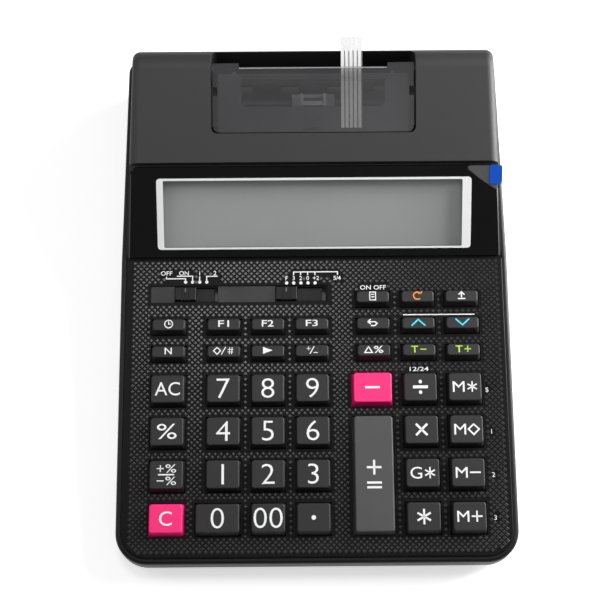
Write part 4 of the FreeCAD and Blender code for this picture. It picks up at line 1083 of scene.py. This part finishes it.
@dataclass
class Display:
    """The window over the display: black mask, clear pane, printed frame, and the film in one corner.

    Args:
        corners: Sharp corners of the window, anticlockwise.
        radii: Their radii.
        thick: Thickness of the window.
        bevel: Bevel along its outside edge.
        view: Left, right, low and high edge of the clear opening, and the radius of its corners.
        pane_drop: How far the pane lies below the mask's face.
        frame: The printed frame's edges and radius, as of the opening.
        frame_foot: Height of the frame's foot above the mask.
        film_heights: Foot and top of the film.
        tab: The pull tab's edges and radius, as of the opening.
        tab_heights: Foot, top and bevel of the tab.
    """

    corners: tuple[tuple[float, float], ...] = ((-79.3, 0.3), (79.3, 0.3), (77.4, 39.4), (-77.4, 39.4))
    radii: tuple[float, ...] = (0.3, 0.3, 3.2, 3.2)
    thick: float = 2.0
    bevel: float = 0.4
    view: tuple[float, ...] = (-63.9, 62.9, 4.8, 33.3, 0.6)
    pane_drop: float = 0.06
    frame: tuple[float, ...] = (-66.7, 66.7, 3.95, 34.3, 1.5)
    frame_foot: float = 0.005
    film_heights: tuple[float, float] = (0.04, 0.12)
    tab: tuple[float, ...] = (74.3, 79.6, 31.1, 39.1, 0.7)
    tab_heights: tuple[float, float, float] = (0.14, 0.34, 0.05)

    def build(self, nodes: dict[str, bpy.types.Object]) -> None:
        """Build the window's pieces in place of its plain solid.

        Args:
            nodes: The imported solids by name.
        """
        paint(nodes, {"lcd_panel": LCD_GLASS})
        outer, inner = rounded_outline(self.corners, self.radii), box_outline(*self.view)
        mask = border(outer, inner, -self.thick, 0.0, self.bevel)
        pane = slab(inner, -self.thick, -self.pane_drop)
        frame = border(box_outline(*self.frame), inner, self.frame_foot, PRINT_DEPTH)
        for name, surface, finish, smooth in (("window_mask", mask, WINDOW_BLACK, PLATE_SMOOTH),
                                              ("window_pane", pane, WINDOW_CLEAR, 0.0),
                                              ("window_frame_print", frame, WHITE_PRINT, 0.0)):
            piece = show(name, surface.on(DISPLAY), finish, "case", smooth)
            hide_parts("display_window")
        self.lay_film()

    def lay_film(self) -> None:
        """Lay the lifted corner of the film and its pull tab on the window."""
        film = slab(FILM_OUTLINE, *self.film_heights)
        show("film_corner", film.on(DISPLAY), FILM, "case")
        tab = slab(box_outline(*self.tab), *self.tab_heights)
        show("film_tab", tab.on(DISPLAY), TAB_BLUE, "case", PLATE_SMOOTH)


@dataclass
class Printer:
    """The printer under its smoked cover: mechanism, grip dots, tear edge and the strip in the paper path.

    Args:
        grip_across: Places of the grip dots across.
        grip_along: Places of their rows along the roof.
        grip_dot: Radius, foot, top and steps of a grip dot.
        tab: Left, right, low and high edge of the ink roller's tab, and the radius of its corners.
        tab_heights: Foot, top and bevel of the tab.
        tear_half: Half the width of the tear edge.
        tooth_pitch: Distance between its teeth.
        tooth_half: Half the width of a tooth's foot.
        tooth_foot: Where the teeth start, along the roof.
        tooth_tip: Where they end.
        tooth_heights: Foot and top of a tooth.
        strip_left: Left edge of the strip.
        strip_right: Right edge of the strip.
        strip_start: Where the strip starts, along the roof.
        strip_end: Where it ends, behind the hump.
        strip_steps: Points along it.
        strip_drop: How far it lies below the roof.
        strip_thick: Its thickness.
        bend_start: Where it starts to bend down, along the roof.
        bend_rate: How fast it bends: drop for the square of the distance past that start.
        stripes: Number of its stripes.
        stripe_width: Width of a stripe.
        stripe_margin: Clear edge beside the stripes.
        stripe_heights: Foot and top of a stripe, above the strip's line.
    """

    grip_across: tuple[float, ...] = (-2.98, -0.3, 2.3)
    grip_along: tuple[float, ...] = (2.43, 4.97)
    grip_dot: tuple[float, float, float, int] = (0.4, -0.02, 0.18, 14)
    tab: tuple[float, ...] = (-4.9, 4.1, 11.6, 13.5, 0.4)
    tab_heights: tuple[float, float, float] = (-4.6, -4.2, 0.1)
    tear_half: float = 31.3
    tooth_pitch: float = 0.83
    tooth_half: float = 0.38
    tooth_foot: float = 26.7
    tooth_tip: float = 27.2
    tooth_heights: tuple[float, float] = (0.01, 0.05)
    strip_left: float = 11.7
    strip_right: float = 20.9
    strip_start: float = 2.0
    strip_end: float = 40.6
    strip_steps: int = 28
    strip_drop: float = 3.74
    strip_thick: float = 0.08
    bend_start: float = 30.0
    bend_rate: float = 0.0125
    stripes: int = 5
    stripe_width: float = 1.35
    stripe_margin: float = 0.1
    stripe_heights: tuple[float, float] = (0.085, 0.12)

    def build(self, nodes: dict[str, bpy.types.Object]) -> None:
        """Dress the mechanism and build the small pieces.

        Args:
            nodes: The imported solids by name.
        """
        paint(nodes, {"printer_cover": SMOKED, "printer_frame": MECHANISM, "print_carriage": CARRIAGE,
                      "ink_roller": INK_FELT, "feed_roller": ROLLER_RUBBER})
        dots = [disc(*self.grip_dot).moved(x, y) for x in self.grip_across for y in self.grip_along]
        show("cover_grip_dots", joined(dots).on(ROOF), SMOKED, "printer_cover", DOT_SMOOTH)
        # A light row over the moulded teeth: frosted edge and painted highlight
        show("tear_edge_teeth_highlight", self.teeth().on(ROOF), FROSTED_HIGHLIGHT, "printer_cover")
        tab = slab(box_outline(*self.tab), *self.tab_heights)
        show("ink_roller_tab", tab.on(ROOF), CARRIAGE, "print_carriage", PLATE_SMOOTH)
        self.lay_strip()

    def teeth(self) -> Surface:
        """Set out the frosted points of the tear edge, made light as a painted highlight: one triangle,
        raised a little, in a row.

        Returns:
            The teeth.
        """
        flat = np.array([(-self.tooth_half, self.tooth_foot), (self.tooth_half, self.tooth_foot),
                         (0.0, self.tooth_tip)])
        wall = grid(np.stack([level(flat, height) for height in self.tooth_heights]), round_columns=True)
        tooth = Surface(wall.points, wall.faces + [np.array([[2, 1, 0], [3, 4, 5]])])
        middle = np.arange(-self.tear_half + self.tooth_pitch / 2, self.tear_half, self.tooth_pitch)
        return repeated(tooth, np.column_stack([middle, np.zeros((len(middle), 2))]))

    def height(self, along: np.ndarray) -> np.ndarray:
        """Return the strip's height: level under the cover, then bending down past the hump's edge."""
        past = np.clip(along - self.bend_start, 0, None)
        return -self.strip_drop - self.bend_rate * past ** 2

    def ribbon(self, left: float, right: float, low: float, high: float) -> Surface:
        """Carry a flat section along the strip's line.

        Args:
            left: Left edge.
            right: Right edge.
            low: Foot of the section, above the strip's line.
            high: Top of the section.

        Returns:
            The closed ribbon.
        """
        along = np.linspace(self.strip_start, self.strip_end, self.strip_steps)
        base = self.height(along)
        section = [(left, low), (right, low), (right, high), (left, high)]
        edges = [np.column_stack([np.full(len(along), x), along, base + lift]) for x, lift in section]
        return bar(np.stack(edges, 1)).flipped()

    def lay_strip(self) -> None:
        """Lay the clear strip with its white stripes in the paper path."""
        strip = self.ribbon(self.strip_left, self.strip_right, 0.0, self.strip_thick)
        show("paper_strip", strip.on(ROOF), STRIP_CLEAR, "case")
        pitch = (self.strip_right - self.strip_left - 2 * self.stripe_margin) / self.stripes
        lefts = [self.strip_left + self.stripe_margin + i * pitch for i in range(self.stripes)]
        stripes = [self.ribbon(left, left + self.stripe_width, *self.stripe_heights) for left in lefts]
        show("paper_strip_stripes", joined(stripes).on(ROOF), STRIP_WHITE, "case")


@dataclass
class Case:
    """The two shells, what is under them, their screws and the power inlet's pin.

    Args:
        floor: Height of the case's floor above the desk.
        screws: Places of the case screws.
        head_radii: Radii of a screw head's rings, from its foot to its middle.
        head_heights: Their heights; the head points down.
        head_steps: Points round a ring.
        cross_half: Half the width of the cross cut into a head.
        cross_reach: How far the cross reaches from the middle.
        cross_height: Height of its ground.
        pin: Radius and length along the power inlet's pin, from its root to its tip.
        pin_root: Place of the pin's root.
    """

    floor: float = 2.0
    screws: tuple[tuple[float, float], ...] = ((74.0, -60.0), (-74.0, -60.0), (70.0, 84.0), (-70.0, 84.0))
    head_radii: tuple[float, ...] = (2.6, 2.6, 2.2, 1.5, 1.0, 0.5)
    head_heights: tuple[float, ...] = (0.0, -0.35, -0.75, -0.95, -1.0, -1.0)
    head_steps: int = 32
    cross_half: float = 0.3
    cross_reach: float = 1.7
    cross_height: float = -0.35
    pin: tuple[tuple[float, float], ...] = ((0, 0), (0.9, 0), (0.9, 8.0), (0.6, 8.6), (0, 8.8))
    pin_root: tuple[float, float, float] = (58.0, 97.0, 15.0)

    def build(self, nodes: dict[str, bpy.types.Object]) -> None:
        """Dress the shells and build the screws and the pin.

        Args:
            nodes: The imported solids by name.
        """
        paint(nodes, {"lower_case": CASE_ABS, "upper_case": HUMP_ABS, "battery_door": CASE_ABS,
                      "battery_cells": CELL_WRAP, "rubber_feet": FOOT_RUBBER, "main_board": BOARD})
        heads = [self.screw().moved(x, y, self.floor) for x, y in self.screws]
        show("case_screws", joined(heads).on(DESK), STEEL, "case", STEEL_SMOOTH)
        upright = turned(np.array(self.pin))
        laid = Surface(upright.points[:, [0, 2, 1]] * (1, 1, -1), upright.faces).moved(*self.pin_root)
        show("power_pin", laid.on(DESK), STEEL, "case", STEEL_SMOOTH)

    def screw(self) -> Surface:
        """Turn a low dome that points down round its axis, and cut a cross into it.

        Returns:
            The closed head.
        """
        angle = np.linspace(0, 2 * math.pi, self.head_steps, endpoint=False)
        turn, r = np.meshgrid(angle, np.array(self.head_radii))
        x, y = r * np.cos(turn), r * np.sin(turn)
        cross = (np.minimum(np.abs(x), np.abs(y)) < self.cross_half) & (r < self.cross_reach)
        z = np.where(cross, self.cross_height, np.array(self.head_heights)[:, None])
        wall = grid(np.stack([x, y, z], -1), round_columns=True).flipped()
        foot = np.arange(self.head_steps)
        tip = (foot + len(wall.points) - self.head_steps)[::-1]
        return Surface(wall.points, wall.faces + [foot[None], tip[None]])


@dataclass(frozen=True)
class Lamp:
    """A square softbox.

    Args:
        name: Its name.
        place: Where it hangs, in millimetres.
        size: Edge of the square.
        watts: Its power.
    """

    name: str
    place: tuple[float, float, float]
    size: float
    watts: float

    def hang(self, target: tuple[float, float, float]) -> None:
        """Hang the softbox so that it faces a point.

        Args:
            target: The point, in millimetres.
        """
        data = bpy.data.lights.new(self.name, "AREA")
        data.size = self.size * MM
        data.energy = self.watts
        lamp = bpy.data.objects.new(self.name, data)
        lamp.location = Vector(self.place) * MM
        lamp.rotation_euler = (Vector(target) - Vector(self.place)).to_track_quat("-Z", "Y").to_euler()
        bpy.context.scene.collection.objects.link(lamp)


# In order: the keys' tops, a weak fill, the glints from the right rear, the left sides, the right rim
LAMPS = (
    Lamp("softbox_above", (-60, 100, 760), 160, 1.0),
    Lamp("softbox_camera", (160, -260, 900), 300, 0.3),
    Lamp("softbox_right_rear", (620, 260, 480), 380, 6.4),
    Lamp("softbox_left", (-560, 60, 520), 420, 1.2),
    Lamp("softbox_right_low", (520, 120, 110), 200, 4.0),
)


@dataclass
class Studio:
    """Camera, floor and soft lamps.

    Args:
        target: Point the camera looks at, in millimetres.
        elevation: Height of the camera in degrees.
        azimuth: Turn of the camera in degrees.
        distance: Distance from the target.
        focal_pixels: Focal length in pixels of the picture.
        clip_start: Nearest distance that the camera shows.
        floor_half: Half the floor's width, in metres.
        floor_tone: Colour of the floor.
        floor_roughness: Its roughness.
        floor_glow: Its own light, where it is seen directly, in a reflection or through something clear.
        sky: Strength of the even white light all round.
    """

    target: tuple[float, float, float] = (-6.27, -4.85, 32.0)
    elevation: float = 70.574
    azimuth: float = -0.457
    distance: float = 550.0
    focal_pixels: float = 1309.04
    clip_start: float = 10.0
    floor_half: float = 3.0
    floor_tone: str = "#f0f0f0"
    floor_roughness: float = 0.9
    floor_glow: float = 0.55
    sky: float = 0.15

    def build(self) -> None:
        """Set up the camera, the floor, the lamps and the world."""
        scene = bpy.context.scene
        scene.view_settings.view_transform = "Standard"
        self.aim_camera(scene)
        self.lay_floor()
        for lamp in LAMPS:
            lamp.hang(self.target)
        world = bpy.data.worlds.new("studio")
        scene.world = world
        world.use_nodes = True
        light = world.node_tree.nodes["Background"]
        light.inputs["Color"].default_value = linear("#ffffff")
        light.inputs["Strength"].default_value = self.sky

    def aim_camera(self, scene: bpy.types.Scene) -> None:
        """Stand the camera where the picture was taken from.

        Args:
            scene: The scene that gets the camera.
        """
        turn, lift = math.radians(self.azimuth), math.radians(self.elevation)
        back = Vector((math.sin(turn) * math.cos(lift), -math.cos(turn) * math.cos(lift), math.sin(lift)))
        right = (-back).cross(Vector((0, 0, 1))).normalized()
        up = right.cross(-back)
        data = bpy.data.cameras.new("camera")
        data.sensor_width = SENSOR_MM
        data.lens = self.focal_pixels / PIXELS * SENSOR_MM
        data.clip_start = self.clip_start * MM
        camera = bpy.data.objects.new("camera", data)
        place = (Vector(self.target) + back * self.distance) * MM
        camera.matrix_world = Matrix.Translation(place) @ Matrix((right, up, back)).transposed().to_4x4()
        scene.collection.objects.link(camera)
        scene.camera = camera

    def lay_floor(self) -> None:
        """Lay a pale floor that is white to the eye and still takes a soft shadow."""
        half = self.floor_half / MM
        corners = [[(-half, -half, 0), (half, -half, 0)], [(-half, half, 0), (half, half, 0)]]
        floor = bpy.data.objects.new("floor", grid(np.array(corners, float)).on(DESK).mesh("floor"))
        bpy.context.scene.collection.objects.link(floor)
        paper = bpy.data.materials.new("floor_paper")
        paper.use_nodes = True
        tree = paper.node_tree
        shader = tree.nodes["Principled BSDF"]
        shader.inputs["Base Color"].default_value = linear(self.floor_tone)
        shader.inputs["Roughness"].default_value = self.floor_roughness
        shader.inputs["Emission Color"].default_value = linear("#ffffff")
        rays = add_node(tree, "ShaderNodeLightPath").outputs
        seen = rays["Is Camera Ray"]
        for ray in ("Is Glossy Ray", "Is Transmission Ray"):
            seen = add_node(tree, "ShaderNodeMath", {0: seen, 1: rays[ray]}, operation="MAXIMUM").outputs[0]
        glow = add_node(tree, "ShaderNodeMath", {0: seen, 1: self.floor_glow}, operation="MULTIPLY")
        tree.links.new(glow.outputs[0], shader.inputs["Emission Strength"])
        floor.data.materials.append(paper)


def main() -> None:
    """Build every sub-assembly in order, then the studio."""
    logging.basicConfig(level=logging.INFO, format="%(message)s")
    bpy.ops.object.select_all(action="SELECT")
    bpy.ops.object.delete()
    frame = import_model()
    for assembly in (Case(), Keypad(), Display(), Printer()):
        assembly.build(frame["nodes"])
        LOG.info("built %s", type(assembly).__name__)
    Studio().build()


if __name__ == "__main__":
    main()
